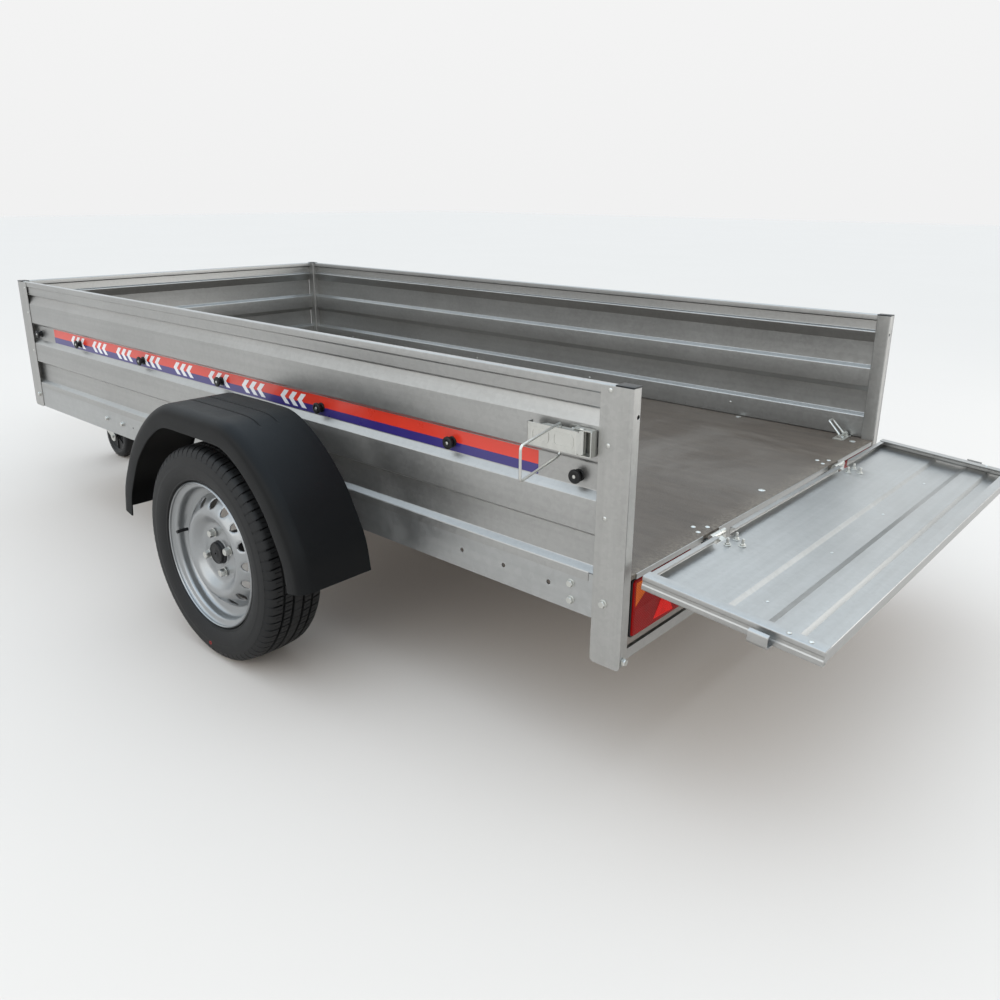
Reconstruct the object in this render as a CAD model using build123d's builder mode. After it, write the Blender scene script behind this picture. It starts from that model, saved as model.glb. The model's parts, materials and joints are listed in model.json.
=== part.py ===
from build123d import *
from math import atan2, cos, degrees, hypot, radians, sin, tan
import os

os.makedirs("parts", exist_ok=True)

# Single-axle box trailer. Millimetres, +X to the tailgate, +Y to the right side, +Z up,
# ground at z = 0. The origin is under the middle of the whole outline, tailgate let down.

# ---------------------------------------------------------------- driving dimensions
box_ahead = 1645.0        # axle to the outer face of the front panel
box_behind = 1022.0       # axle to the rear face of the rear posts
box_width = 1314.0        # over the side panels
wall_high = 360.0         # top edge of the panels above the deck
deck_top = 441.0
deck_thick = 9.0
drawbar_reach = 1120.0    # front panel to the front of the coupling
sheet_thick = 1.2
wheel_radius = 273.5
wheel_outset = 190.0      # middle of each tyre outside the side panel
tyre_width = 157.0
gate_length = 343.5
gate_inset = 22.5         # end of the tailgate inside the side panel
gate_droop = 4.4          # degrees below level when let down
running_gap = 0.08        # radial clearance of turning fits
clear_gap = 1.0           # clearance of moving bodies beside fixed ones

# ---------------------------------------------------------------- shared positions
half = box_width / 2
box_top = deck_top + wall_high
coupling_ahead = box_ahead + drawbar_reach
deck_low = deck_top - deck_thick
hinge_behind = box_behind + 14.0
hinge_z = deck_top - 1.0
gate_start = 10.0
gate_top = 13.0
gate_low = -16.5
gate_end = gate_start + gate_length
gate_reach = hinge_behind + gate_end * cos(radians(gate_droop)) + gate_top * sin(radians(gate_droop))
axle_x = (coupling_ahead - gate_reach) / 2
front_x = axle_x - box_ahead
rear_x = axle_x + box_behind
hinge_x = axle_x + hinge_behind
rail_low = deck_low - 90.0
hinge_y = half - 327.0
wheel_y = half + wheel_outset


def sheet(points, thick):
    """Outline of a bent sheet whose first face is the given line and whose other lies on its left."""
    other = []
    for index, (px, py) in enumerate(points):
        normals = []
        for start, stop in ((index - 1, index), (index, index + 1)):
            if start < 0 or stop >= len(points):
                continue
            dx = points[stop][0] - points[start][0]
            dy = points[stop][1] - points[start][1]
            size = hypot(dx, dy)
            normals.append((-dy / size, dx / size))
        if len(normals) == 1:
            shift = normals[0]
        else:
            (ax, ay), (bx, by) = normals
            scale = 1 + ax * bx + ay * by
            shift = ((ax + bx) / scale, (ay + by) / scale)
        other.append((px + thick * shift[0], py + thick * shift[1]))
    return list(points) + other[::-1]


def outline(plane, points):
    """Closed flat face through the points."""
    with BuildSketch(plane) as face:
        with BuildLine():
            Polyline(*points, close=True)
        make_face()
    return face.sketch


def block(x0, x1, y0, y1, z0, z1, mode=Mode.ADD):
    """Box between two corners."""
    with Locations(((x0 + x1) / 2, (y0 + y1) / 2, (z0 + z1) / 2)):
        Box(abs(x1 - x0), abs(y1 - y0), abs(z1 - z0), mode=mode)


def rod(centre, radius, length, turn=(0, 0, 0), mode=Mode.ADD):
    """Cylinder about its centre; the turn lays it along another axis."""
    with Locations(centre):
        Cylinder(radius, length, rotation=turn, mode=mode)


along_x = (0, 90, 0)
along_y = (90, 0, 0)
upright = (0, 0, 0)


def hexagon(centre, flats, length, turn):
    """Bolt head: a hexagonal prism about its centre."""
    with BuildSketch(Plane.XY) as face:
        RegularPolygon(flats / 2, 6, major_radius=False)
    with BuildPart() as head:
        extrude(face.sketch, amount=length / 2, both=True)
    with Locations(centre):
        add(head.part, rotation=turn)


def save(piece, name):
    piece.part.label = name
    export_step(piece.part, f"parts/{name}.step")


# ---------------------------------------------------------------- ribbed wall section
# Depth in from the outer face and height, from the top hem down to the skirt over the rail.
rib = 14.0
skirt = -sheet_thick
wall_line = [
    (16.0, box_top - 15), (16.0, box_top), (0.0, box_top), (0.0, box_top - 17),
    (3.0, box_top - 19), (3.0, box_top - 46), (rib, box_top - 49), (0.0, box_top - 80),
    (0.0, box_top - 147), (rib, box_top - 155), (rib, box_top - 207), (0.0, box_top - 222),
    (0.0, box_top - 288), (rib, box_top - 296), (rib, deck_top + 2), (skirt, deck_low + 1.6),
    (skirt, deck_low - 16),
]
post_wide = 38.0
post_deep = 27.0
post_wall = 2.0
post_flange = 69.0
post_out = half + post_wall
wall_front = front_x + post_wide
wall_rear = rear_x - post_wide

with BuildPart() as side_panel_left:
    line = [(depth - half, height) for depth, height in wall_line]
    extrude(outline(Plane.YZ.offset(wall_front), sheet(line, sheet_thick)), amount=wall_rear - wall_front)
    block(rear_x - 80, wall_rear, -half - 3, -half, deck_low - 20, deck_top + 2, Mode.SUBTRACT)
    block(wall_front, front_x + 80, -half - 3, -half, deck_low - 20, deck_top + 2, Mode.SUBTRACT)

with BuildPart() as side_panel_right:
    mirror(side_panel_left.part, about=Plane.XZ)

post_inner = post_out - post_deep
with BuildPart() as front_panel:
    line = [(front_x + depth, height) for depth, height in wall_line]
    extrude(outline(Plane.XZ, sheet(line, sheet_thick)), amount=post_inner, both=True)

# ---------------------------------------------------------------- corner posts
cap_thick = 3.0
post_top = box_top - cap_thick + 1.5
rear_foot = rail_low - 91.0
front_foot = rail_low - 3


def post(tube0, tube1, flange, foot, radius):
    """Rolled corner post: a box tube with one outer flange lapped over the side panel."""
    with BuildPart() as item:
        with BuildSketch(Plane.XZ.offset(half)):
            with BuildLine():
                Polyline((tube0, foot), (tube0, post_top), (flange, post_top), (flange, foot), close=True)
            make_face()
            fillet(vertices().group_by(Axis.Y)[0], radius=radius)
        extrude(amount=post_wall)
        base = foot + radius
        low, high = min(tube0, tube1), max(tube0, tube1)
        block(low, low + post_wall, -half, -post_inner, base, post_top)
        block(high - post_wall, high, -half, -post_inner, base, post_top)
        block(low, high, -post_inner - post_wall, -post_inner, base, post_top)
        rod((tube0, -post_out + 19, box_top - 54), 4.5, 8, along_x, Mode.SUBTRACT)
    return item


post_rear_left = post(rear_x, wall_rear, rear_x - post_flange, rear_foot, 9)
post_front_left = post(front_x, wall_front, front_x + post_flange, front_foot, 12)
with BuildPart() as post_rear_right:
    mirror(post_rear_left.part, about=Plane.XZ)
with BuildPart() as post_front_right:
    mirror(post_front_left.part, about=Plane.XZ)

with BuildPart() as post_caps:
    for low in (front_x, wall_rear):
        for side in (-1, 1):
            edge_a, edge_b = side * post_out, side * post_inner
            block(low, low + post_wide, edge_a, edge_b, post_top, post_top + cap_thick)
            block(low + 2.2, low + post_wide - 2.2, edge_a - side * 2.2, edge_b + side * 2.2,
                  post_top - 8, post_top)

# ---------------------------------------------------------------- chassis frame
rail_wall = 2.5
rail_flange = 42.0
rail_front = front_x + 4
with BuildPart() as side_rail_left:
    line = [(rail_flange - half, deck_low), (-half, deck_low), (-half, rail_low), (rail_flange - half, rail_low)]
    extrude(outline(Plane.YZ.offset(rail_front), sheet(line, rail_wall)), amount=wall_rear - rail_front)
    block(rail_front - 1, wall_front, -half - 1, -post_inner + 0.01, rail_low - 1, deck_low + 1, Mode.SUBTRACT)
    for hole_x, radius in ((rear_x - 414, 5), (rear_x - 295, 5), (rear_x - 176, 5), (front_x + 773, 3)):
        rod((hole_x, -half, rail_low + 42), radius, 12, along_y, Mode.SUBTRACT)
with BuildPart() as side_rail_right:
    mirror(side_rail_left.part, about=Plane.XZ)

member_half = half - rail_flange
member_high = 26.0
with BuildPart() as crossmembers:
    for start in (front_x + 2, axle_x - 640, axle_x + 420):
        line = [(start + 40, deck_low), (start, deck_low), (start, deck_low - member_high),
                (start + 40, deck_low - member_high)]
        extrude(outline(Plane.XZ, sheet(line, rail_wall)), amount=member_half, both=True)

edge_thick = 2.0
with BuildPart() as rear_crossmember:
    line = [(rear_x - 2, deck_top), (rear_x - 2, deck_low), (rear_x - 36, deck_low), (rear_x - 36, rail_low),
            (rear_x - 70, rail_low)]
    extrude(outline(Plane.XZ, sheet(line, edge_thick)), amount=member_half, both=True)
    for middle in (-hinge_y, hinge_y):
        block(rear_x - 12, rear_x + 2, middle - 34, middle + 34, deck_low - 3, deck_top + 1, Mode.SUBTRACT)

deck_half = half - rib - sheet_thick
with BuildPart() as deck_board:
    block(front_x + rib + sheet_thick, rear_x - 2, -deck_half, deck_half, deck_low, deck_top)
    for side in (-1, 1):
        block(wall_rear, rear_x, side * (post_inner - 1), side * half, deck_low - 1, deck_top + 1, Mode.SUBTRACT)
        block(front_x, wall_front, side * (post_inner - 1), side * half, deck_low - 1, deck_top + 1,
              Mode.SUBTRACT)

bumper_z = rail_low - 76.0
with BuildPart() as bumper_bar:
    line = [(rear_x - 30, bumper_z), (rear_x - 4, bumper_z), (rear_x - 4, bumper_z + 22)]
    extrude(outline(Plane.XZ, sheet(line, 3.0)), amount=post_inner, both=True)

# ---------------------------------------------------------------- drawbar
arm_high = 60.0
arm_wide = 40.0
arm_wall = 3.0
arm_top = deck_low - member_high
foot_x = front_x + 648.0
web_inner = half - rail_wall
foot_plate = 6.0
arm_root_y = -(web_inner - foot_plate)
arm_tip_x = axle_x - coupling_ahead + 145.0
run = foot_x - arm_tip_x
tip_y = -73.8
arm_angle = degrees(atan2(tip_y - arm_root_y, run))
arm_dir = Vector(-cos(radians(arm_angle)), sin(radians(arm_angle)), 0)
arm_plane = Plane(origin=(foot_x, arm_root_y, arm_top - arm_high / 2), x_dir=(-arm_dir.Y, arm_dir.X, 0),
                  z_dir=arm_dir)

with BuildPart() as drawbar_left:
    with BuildSketch(arm_plane.offset(-120)):
        Rectangle(arm_wide, arm_high)
        Rectangle(arm_wide - 2 * arm_wall, arm_high - 2 * arm_wall, mode=Mode.SUBTRACT)
    extrude(amount=run / cos(radians(arm_angle)) + 160)
    block(foot_x - 200, foot_x + 300, arm_root_y - 200, arm_root_y, arm_top - 100, arm_top + 40, Mode.SUBTRACT)
    block(arm_tip_x - 100, arm_tip_x, tip_y - 80, tip_y + 80, arm_top - 100, arm_top + 10, Mode.SUBTRACT)
    block(foot_x - 103, foot_x + 103, -web_inner, arm_root_y, rail_low + 6, deck_low - 6)
with BuildPart() as drawbar_right:
    mirror(drawbar_left.part, about=Plane.XZ)

# ---------------------------------------------------------------- ball coupling
ball_radius = 25.0
ball_x = axle_x - coupling_ahead + 42.0
ball_z = arm_top + 22.0
body_half = 34.0
plate_back = arm_tip_x + 130
body_top = ball_z + 40
pivot_x = ball_x + 95.0
pivot_z = body_top - 14
with BuildPart() as coupling_housing:
    block(arm_tip_x, plate_back, -120, 120, arm_top, arm_top + 6)
    line = [(body_half, arm_top + 6), (body_half, body_top), (-body_half, body_top), (-body_half, arm_top + 6)]
    extrude(outline(Plane.YZ.offset(ball_x + 20), sheet(line, 4.0)), amount=plate_back - ball_x - 30)
    block(ball_x - 8, arm_tip_x + 10, -body_half, body_half, arm_top, arm_top + 6)
    with Locations((ball_x, 0, ball_z)):
        Sphere(42)
    block(ball_x - 60, ball_x + 60, -60, 60, ball_z - 60, ball_z - 12, Mode.SUBTRACT)
    block(ball_x + 30, arm_tip_x + 10, -body_half, body_half, arm_top, arm_top + 6)
    block(ball_x - 50, ball_x + 50, -60, 60, body_top, body_top + 30, Mode.SUBTRACT)
    with Locations((ball_x, 0, ball_z)):
        Sphere(ball_radius + 0.4, mode=Mode.SUBTRACT)
    rod((ball_x, 0, ball_z - 20), ball_radius + 0.4, 40, upright, Mode.SUBTRACT)
    block(pivot_x - 26, pivot_x + 60, -24, 24, body_top - 6, body_top + 2, Mode.SUBTRACT)
    rod((pivot_x, 0, pivot_z), 5, 2 * body_half + 6, along_y)

with BuildPart() as coupling_handle:
    with BuildSketch(Plane.XZ):
        with BuildLine():
            Polyline((pivot_x - 11, pivot_z - 8), (pivot_x - 11, body_top + 8), (pivot_x + 8, body_top + 26),
                     (pivot_x + 170, body_top + 54), (pivot_x + 176, body_top + 42),
                     (pivot_x + 30, body_top + 12), (pivot_x + 11, pivot_z - 8), close=True)
        make_face()
    extrude(amount=11, both=True)
    fillet(coupling_handle.edges().filter_by(Axis.Y), radius=3)
    rod((pivot_x, 0, pivot_z), 5 + running_gap, 40, along_y, Mode.SUBTRACT)

# ---------------------------------------------------------------- rubber torsion axle
beam_size = 60.0
beam_wall = 4.0
seat_thick = 6.0
beam_x = axle_x - 145.0
beam_z = rail_low - seat_thick - beam_size / 2
beam_half = wheel_y - tyre_width / 2 - 52.0
shaft_radius = 20.0
spindle_radius = 15.0
with BuildPart() as axle_beam:
    block(beam_x - 30, beam_x + 30, -beam_half, beam_half, beam_z - 30, beam_z + 30)
    block(beam_x - 26, beam_x + 26, -beam_half + 40, beam_half - 40, beam_z - 26, beam_z + 26, Mode.SUBTRACT)
    for side in (-1, 1):
        rod((beam_x, side * (beam_half - 20), beam_z), shaft_radius + running_gap, 40.1, along_y, Mode.SUBTRACT)
        block(beam_x - 85, beam_x + 85, side * (half - 40), side * half, beam_z + 30, rail_low)

arm_inner = beam_half + clear_gap
arm_outer = arm_inner + 15.0


def swing_arm():
    """Trailing arm of the left wheel with its torsion shaft and wheel spindle."""
    with BuildPart() as item:
        reach = hypot(axle_x - beam_x, wheel_radius - beam_z)
        lean = degrees(atan2(wheel_radius - beam_z, axle_x - beam_x))
        with BuildSketch(Plane.XZ.offset(arm_inner)):
            with Locations(((beam_x + axle_x) / 2, (beam_z + wheel_radius) / 2)):
                SlotCenterToCenter(reach, 56, rotation=lean)
        extrude(amount=arm_outer - arm_inner)
        rod((beam_x, -(arm_inner - 20), beam_z), shaft_radius, 40, along_y)
        rod((axle_x, -(arm_outer + 33), wheel_radius), spindle_radius, 66, along_y)
        rod((axle_x, -(arm_outer + 2), wheel_radius), spindle_radius + 9, 4, along_y)
    return item


swing_arm_left = swing_arm()
with BuildPart() as swing_arm_right:
    mirror(swing_arm_left.part, about=Plane.XZ)

# ---------------------------------------------------------------- road wheels
rim_radius = 182.5
face_out = 30.0           # mounting face of the disc outside the middle of the tyre
bolt_circle = 50.0
bore_radius = 29.0
disc_thick = 4.0
wheel_axis = Axis((axle_x, 0, wheel_radius), (0, 1, 0))
wheel_plane = Plane.YZ.offset(axle_x)


def turned(points):
    """Ring of revolution about the wheel axis; points are outward distance from mid tyre and radius."""
    placed = [(-wheel_y - out, wheel_radius + radius) for out, radius in points]
    return revolve(outline(wheel_plane, placed), axis=wheel_axis)


with BuildPart() as tyre_left:
    tread = tyre_width / 2 - 21
    wall = tyre_width / 2
    half_outer = [(52, rim_radius - 11.8), (54.4, rim_radius - 3.5), (61.5, rim_radius + 2), (wall - 9, rim_radius + 7),
                  (wall - 2.5, wheel_radius - 61), (wall, wheel_radius - 47), (wall - 1.5, wheel_radius - 29),
                  (tread + 12, wheel_radius - 11), (tread, wheel_radius - 3.5), (tread - 20, wheel_radius - 1.2)]
    half_inner = [(40, rim_radius - 11.8), (52, rim_radius + 14), (wall - 11, wheel_radius - 47),
                  (tread - 2, wheel_radius - 19)]
    turned(half_outer + [(0, wheel_radius)] + [(-out, radius) for out, radius in half_outer[::-1]]
           + [(-out, radius) for out, radius in half_inner] + half_inner[::-1])
    for out in (-39, -14, 14, 39):
        placed = [(-wheel_y - out + a, 2 * wheel_radius + b) for a, b in ((-3, -7), (3, -7), (3, 4), (-3, 4))]
        revolve(outline(wheel_plane, placed), axis=wheel_axis, mode=Mode.SUBTRACT)

with BuildPart() as rim_left:
    turned(sheet([(69, rim_radius - 1), (62, rim_radius + 0.5), (56, rim_radius - 4), (53, rim_radius - 12.5),
                  (30, rim_radius - 14), (22, 142), (-12, 142), (-20, rim_radius - 14), (-53, rim_radius - 12.5),
                  (-56, rim_radius - 4), (-62, rim_radius + 0.5), (-69, rim_radius - 1)], 3.0))
    face = face_out + disc_thick
    turned(sheet([(10, 139.5), (face - 4, 139.5), (face + 9, 127), (face + 20, 112), (face + 22.5, 104),
                  (face + 18, 93), (face + 2, 76), (face, 70), (face, bore_radius)], -disc_thick))
    with Locations(Plane(origin=(axle_x, -wheel_y - 24, wheel_radius), x_dir=(1, 0, 0), z_dir=(0, -1, 0))):
        with PolarLocations(127, 16):
            Cylinder(12, 60, align=(Align.CENTER, Align.CENTER, Align.MIN), mode=Mode.SUBTRACT)
        with PolarLocations(bolt_circle, 4, start_angle=20):
            Cylinder(6.5, 60, align=(Align.CENTER, Align.CENTER, Align.MIN), mode=Mode.SUBTRACT)

hub_back = wheel_y - arm_outer - 5.5
with BuildPart() as hub_left:
    turned([(face_out, 64), (face_out, bore_radius - 0.6), (face_out + 10, bore_radius - 0.6),
            (face_out + 15, 22), (face_out + 15, 0.0), (-hub_back + 62, 0.0),
            (-hub_back + 62, spindle_radius + running_gap), (-hub_back, spindle_radius + running_gap),
            (-hub_back, 42), (face_out - 12, 42), (face_out - 12, 64)])

with BuildPart() as wheel_bolts_left:
    with Locations(Plane(origin=(axle_x, -wheel_y - face_out - disc_thick, wheel_radius), x_dir=(1, 0, 0),
                         z_dir=(0, -1, 0))):
        with PolarLocations(bolt_circle, 4, start_angle=20):
            Cone(8.5, 11.5, 3, align=(Align.CENTER, Align.CENTER, Align.MIN))
            Cylinder(6, disc_thick, align=(Align.CENTER, Align.CENTER, Align.MAX))
    turns = [radians(20 + 90 * k) for k in range(4)]
    for turn in turns:
        across, up = bolt_circle * cos(turn), bolt_circle * sin(turn)
        hexagon((axle_x + across, -wheel_y - face_out - disc_thick - 10, wheel_radius + up), 17, 14, along_y)

with BuildPart() as tyre_right:
    mirror(tyre_left.part, about=Plane.XZ)
with BuildPart() as rim_right:
    mirror(rim_left.part, about=Plane.XZ)
with BuildPart() as hub_right:
    mirror(hub_left.part, about=Plane.XZ)
with BuildPart() as wheel_bolts_right:
    mirror(wheel_bolts_left.part, about=Plane.XZ)

# ---------------------------------------------------------------- mudguards and their stays
guard_in = wheel_y - 107.0
guard_out = wheel_y + 83.0
guard_thick = 3.0
guard_arch = [(1.4735, 1.1042), (1.4186, 1.3711), (1.2797, 1.6453), (1.1773, 1.8062), (1.0530, 1.9488),
              (0.9104, 2.0804), (0.7495, 2.1938), (0.6033, 2.2669), (0.4570, 2.3071), (0.2194, 2.3144)]
guard_half = [(wheel_radius * ahead, wheel_radius * up) for ahead, up in guard_arch]
guard_low = guard_half[0][1]
guard_line = guard_half + [(-x, z) for x, z in guard_half[::-1]]
with BuildPart() as mudguard_left:
    placed = [(axle_x + x, z) for x, z in guard_line]
    extrude(outline(Plane.XZ.offset(guard_in), sheet(placed, guard_thick)), amount=guard_out - guard_in)
    face = [(axle_x + x, z) for x, z in guard_line]
    mouth = [(axle_x + x * 0.865, guard_low + (z - guard_low) * 0.835) for x, z in guard_line]
    extrude(outline(Plane.XZ.offset(guard_out - guard_thick), face + mouth[::-1]), amount=guard_thick)
with BuildPart() as mudguard_right:
    mirror(mudguard_left.part, about=Plane.XZ)

guard_top = guard_half[-1][1]
stay_z = guard_top - 59.0
with BuildPart() as mudguard_stays:
    for side in (-1, 1):
        near, far = side * half, side * (guard_in + 5)
        low, high = min(stay_z - 3, box_top - 280), max(stay_z, box_top - 230)
        block(axle_x - 55, axle_x + 55, near, side * (half + 3), low, high)
        block(axle_x - 55, axle_x + 55, near, far, stay_z - 3, stay_z)
        block(axle_x - 55, axle_x + 55, side * (guard_in + 2), far, stay_z - 3, guard_top - guard_thick)

# ---------------------------------------------------------------- rear lights
light_out = half - 38.0
light_in = half - 258.0
light_low = rail_low - 38.0
light_high = deck_low - 4.0
light_back = rear_x - 36.0 + edge_thick
light_face = rear_x - 6.0
with BuildPart() as light_housing_left:
    block(light_back, light_face, -light_out, -light_in, light_low, light_high)
    fillet(light_housing_left.edges().filter_by(Axis.X), radius=8)
    block(light_back + 3, light_face + 1, -light_out + 3, -light_in - 3, light_low + 3, light_high - 3,
          Mode.SUBTRACT)
with BuildPart() as light_housing_right:
    mirror(light_housing_left.part, about=Plane.XZ)
with BuildPart() as light_lens_left:
    block(light_face - 14, light_face + 4, -light_out + 3.4, -light_in - 3.4, light_low + 3.4, light_high - 3.4)
    fillet(light_lens_left.edges().filter_by(Axis.X), radius=5)
    block(light_face - 15, light_face + 1, -light_out + 6, -light_in - 6, light_low + 6, light_high - 6,
          Mode.SUBTRACT)
    middle = (light_out + light_in) / 2
    block(light_face - 15, light_face + 2, -middle - 1, -middle + 1, light_low + 4, light_high - 4)
with BuildPart() as light_lens_right:
    mirror(light_lens_left.part, about=Plane.XZ)

# ---------------------------------------------------------------- over-centre latches
latch_z = box_top - 111.0
latch_back = rear_x - 72.0
latch_front = rear_x - 129.0
latch_pin_x = rear_x - 97.0
latch_tip = rear_x - 216.0
latch_pin_y = half + 14.0
bail_pin_x = rear_x - 139.0
bail_pin_y = half + 24.0
bail_wire = 2.5
bail_reach = 175.0
bail_half = 31.0
bail_turn = 74.3          # degrees swung out from pointing at the tailgate

with BuildPart() as latch_bases:
    for side in (-1, 1):
        near, far = side * half, side * (half + 21)
        block(latch_front, latch_back, near, side * (half + 2), latch_z - 25, latch_z + 25)
        for low in (latch_z - 25, latch_z + 23):
            block(latch_front + 12, latch_back, near, far, low, low + 2)
        block(latch_back - 2, latch_back, near, far, latch_z - 25, latch_z + 25)
        rod((latch_pin_x, side * latch_pin_y, latch_z), 4, 50, upright)


def latch_handle():
    """Lever of the left latch: a pressed cover plate on a barrel about the fixed pin."""
    with BuildPart() as item:
        rod((latch_pin_x, -latch_pin_y, latch_z), 7, 45, upright)
        block(latch_tip, latch_pin_x, -(half + 22.5), -(half + 20.5), latch_z - 22, latch_z + 22)
        for low in (latch_z - 22, latch_z + 20):
            block(latch_tip + 34, latch_pin_x, -(half + 22), -(half + 15), low, low + 2)
        block(latch_tip, latch_tip + 2, -(half + 22), -(half + 12), latch_z - 22, latch_z + 22)
        rod((bail_pin_x, -bail_pin_y, latch_z), 4.5, 44, upright)
        rod((latch_pin_x, -latch_pin_y, latch_z), 4 + running_gap, 60, upright, Mode.SUBTRACT)
        rod((bail_pin_x, -bail_pin_y, latch_z), bail_wire + running_gap, 60, upright, Mode.SUBTRACT)
    return item


def latch_bail():
    """Wire loop of the left latch, swung out from the panel."""
    with BuildPart() as item:
        plane = Plane(origin=(bail_pin_x, -bail_pin_y, latch_z),
                      x_dir=(cos(radians(bail_turn)), -sin(radians(bail_turn)), 0),
                      z_dir=(sin(radians(bail_turn)), cos(radians(bail_turn)), 0))
        with BuildLine(plane) as path:
            FilletPolyline((0, 15), (0, bail_half), (bail_reach, bail_half), (bail_reach, -bail_half),
                           (0, -bail_half), (0, -15), radius=7.5)
        with BuildSketch(Plane(origin=path.line @ 0, z_dir=path.line % 0)):
            Circle(bail_wire)
        sweep(path=path.line)
    return item


latch_handle_left = latch_handle()
latch_bail_left = latch_bail()
with BuildPart() as latch_handle_right:
    mirror(latch_handle_left.part, about=Plane.XZ)
with BuildPart() as latch_bail_right:
    mirror(latch_bail_left.part, about=Plane.XZ)

# ---------------------------------------------------------------- jockey wheel
stem_x = front_x - 277.0
tube_radius = 24.0
tube_low = arm_top - 86.0
tube_high = arm_top + 154.0
jockey_radius = 95.0
jockey_trail = 62.0
inner_radius = 20.0
slope = tan(radians(arm_angle))
arm_face_y = arm_root_y + (foot_x - stem_x) * slope + arm_wide / 2 / cos(radians(arm_angle))
stem_y = arm_face_y + 42.7

with BuildPart() as jockey_clamp:
    with BuildSketch(Plane.XY.offset(arm_top - 52)):
        with BuildLine():
            Polyline((stem_x - 40, arm_face_y + 40 * slope), (stem_x + 40, arm_face_y - 40 * slope),
                     (stem_x + 36, stem_y + 6), (stem_x - 36, stem_y + 6), close=True)
        make_face()
        with Locations((stem_x, stem_y)):
            Circle(36)
            Circle(tube_radius + 0.02, mode=Mode.SUBTRACT)
    extrude(amount=46)
    block(stem_x - 1.5, stem_x + 1.5, stem_y, stem_y + 40, arm_top - 60, arm_top, Mode.SUBTRACT)
    rod((stem_x, stem_y + 40, arm_top - 29), 5, 70, along_x)
    rod((stem_x - 38, stem_y + 40, arm_top - 29), 9, 8, along_x)
    block(stem_x + 30, stem_x + 38, stem_y + 36, stem_y + 100, arm_top - 35, arm_top - 23)
    block(stem_x - 10, stem_x + 10, stem_y + 30, stem_y + 44, arm_top - 42, arm_top - 16)

with BuildPart() as jockey_tube:
    rod((stem_x, stem_y, (tube_low + tube_high) / 2), tube_radius, tube_high - tube_low, upright)
    rod((stem_x, stem_y, (tube_low + tube_high) / 2 - 4), tube_radius - 2.5, tube_high - tube_low, upright,
        Mode.SUBTRACT)
    rod((stem_x, stem_y, tube_high + 6), tube_radius + 3, 12, upright)
    rod((stem_x, stem_y, tube_high), 6 + running_gap, 40, upright, Mode.SUBTRACT)

inner_low = 2 * jockey_radius + 22
inner_high = arm_top + 34
screw_run = 220.0
with BuildPart() as jockey_inner:
    rod((stem_x, stem_y, (inner_low + inner_high) / 2), inner_radius, inner_high - inner_low, upright)
    rod((stem_x, stem_y, inner_low + 3), tube_radius, 6, upright)
    rod((stem_x, stem_y, inner_high - 105), 7.5, screw_run, upright, Mode.SUBTRACT)
    rod((stem_x, stem_y, inner_low - 8), 8, 16, upright)
    rod((stem_x, stem_y, inner_low - 20), 12, 8, upright)

fork_half = 33.0
fork_thick = 4.0
wheel_x = stem_x + jockey_trail
with BuildPart() as jockey_fork:
    block(stem_x - 24, stem_x + 24, stem_y - fork_half - fork_thick, stem_y + fork_half + fork_thick,
          inner_low - 15, inner_low - 15 + fork_thick + 10)
    rod((stem_x, stem_y, inner_low - 8), 8 + running_gap, 60, upright, Mode.SUBTRACT)
    block(stem_x - 25, stem_x + 25, stem_y - 28, stem_y + 28, inner_low - 16, inner_low - 5.2, Mode.SUBTRACT)
    block(stem_x - 25, stem_x + 25, stem_y - 40, stem_y + 40, inner_low - 1.2, inner_low + 6, Mode.SUBTRACT)
    for side in (-1, 1):
        with BuildSketch(Plane.XZ.offset(-stem_y - side * (fork_half + fork_thick / 2) - fork_thick / 2)):
            with BuildLine():
                Polyline((stem_x - 24, inner_low - 1.2), (stem_x + 24, inner_low - 1.2),
                         (stem_x + 26, 2 * jockey_radius - 30), (wheel_x + 21, jockey_radius + 10),
                         (wheel_x + 21, jockey_radius - 21), (wheel_x - 21, jockey_radius - 21),
                         (wheel_x - 21, jockey_radius), (stem_x - 24, 2 * jockey_radius - 60), close=True)
            make_face()
            fillet(vertices().group_by(Axis.Y)[0], radius=20)
        extrude(amount=fork_thick)
    rod((wheel_x, stem_y, jockey_radius), 6, 2 * (fork_half + fork_thick) + 10, along_y)

with BuildPart() as jockey_wheel:
    rod((wheel_x, stem_y, jockey_radius), jockey_radius, 50, along_y)
    fillet(jockey_wheel.edges().filter_by(GeomType.CIRCLE), radius=11)
    for side in (-1, 1):
        rod((wheel_x, stem_y + side * 23, jockey_radius), 56, 14, along_y, Mode.SUBTRACT)
        rod((wheel_x, stem_y + side * 23, jockey_radius), 18, 14, along_y)
    rod((wheel_x, stem_y, jockey_radius), 6 + running_gap, 80, along_y, Mode.SUBTRACT)

crank_z = tube_high + 12 + clear_gap
screw_low = inner_high - 105.0
with BuildPart() as jockey_crank:
    rod((stem_x, stem_y, (crank_z + screw_low) / 2), 6, crank_z - screw_low, upright)
    rod((stem_x, stem_y, crank_z + 8), 11, 16, upright)
    with BuildLine(Plane.XZ.offset(-stem_y)) as path:
        FilletPolyline((stem_x, crank_z + 14), (stem_x - 10, crank_z + 22), (stem_x - 80, crank_z + 26),
                       (stem_x - 80, crank_z + 66), radius=8)
    with BuildSketch(Plane(origin=path.line @ 0, z_dir=path.line % 0)):
        Circle(5)
    sweep(path=path.line)
    rod((stem_x - 80, stem_y, crank_z + 62), 10, 44, upright)

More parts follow.
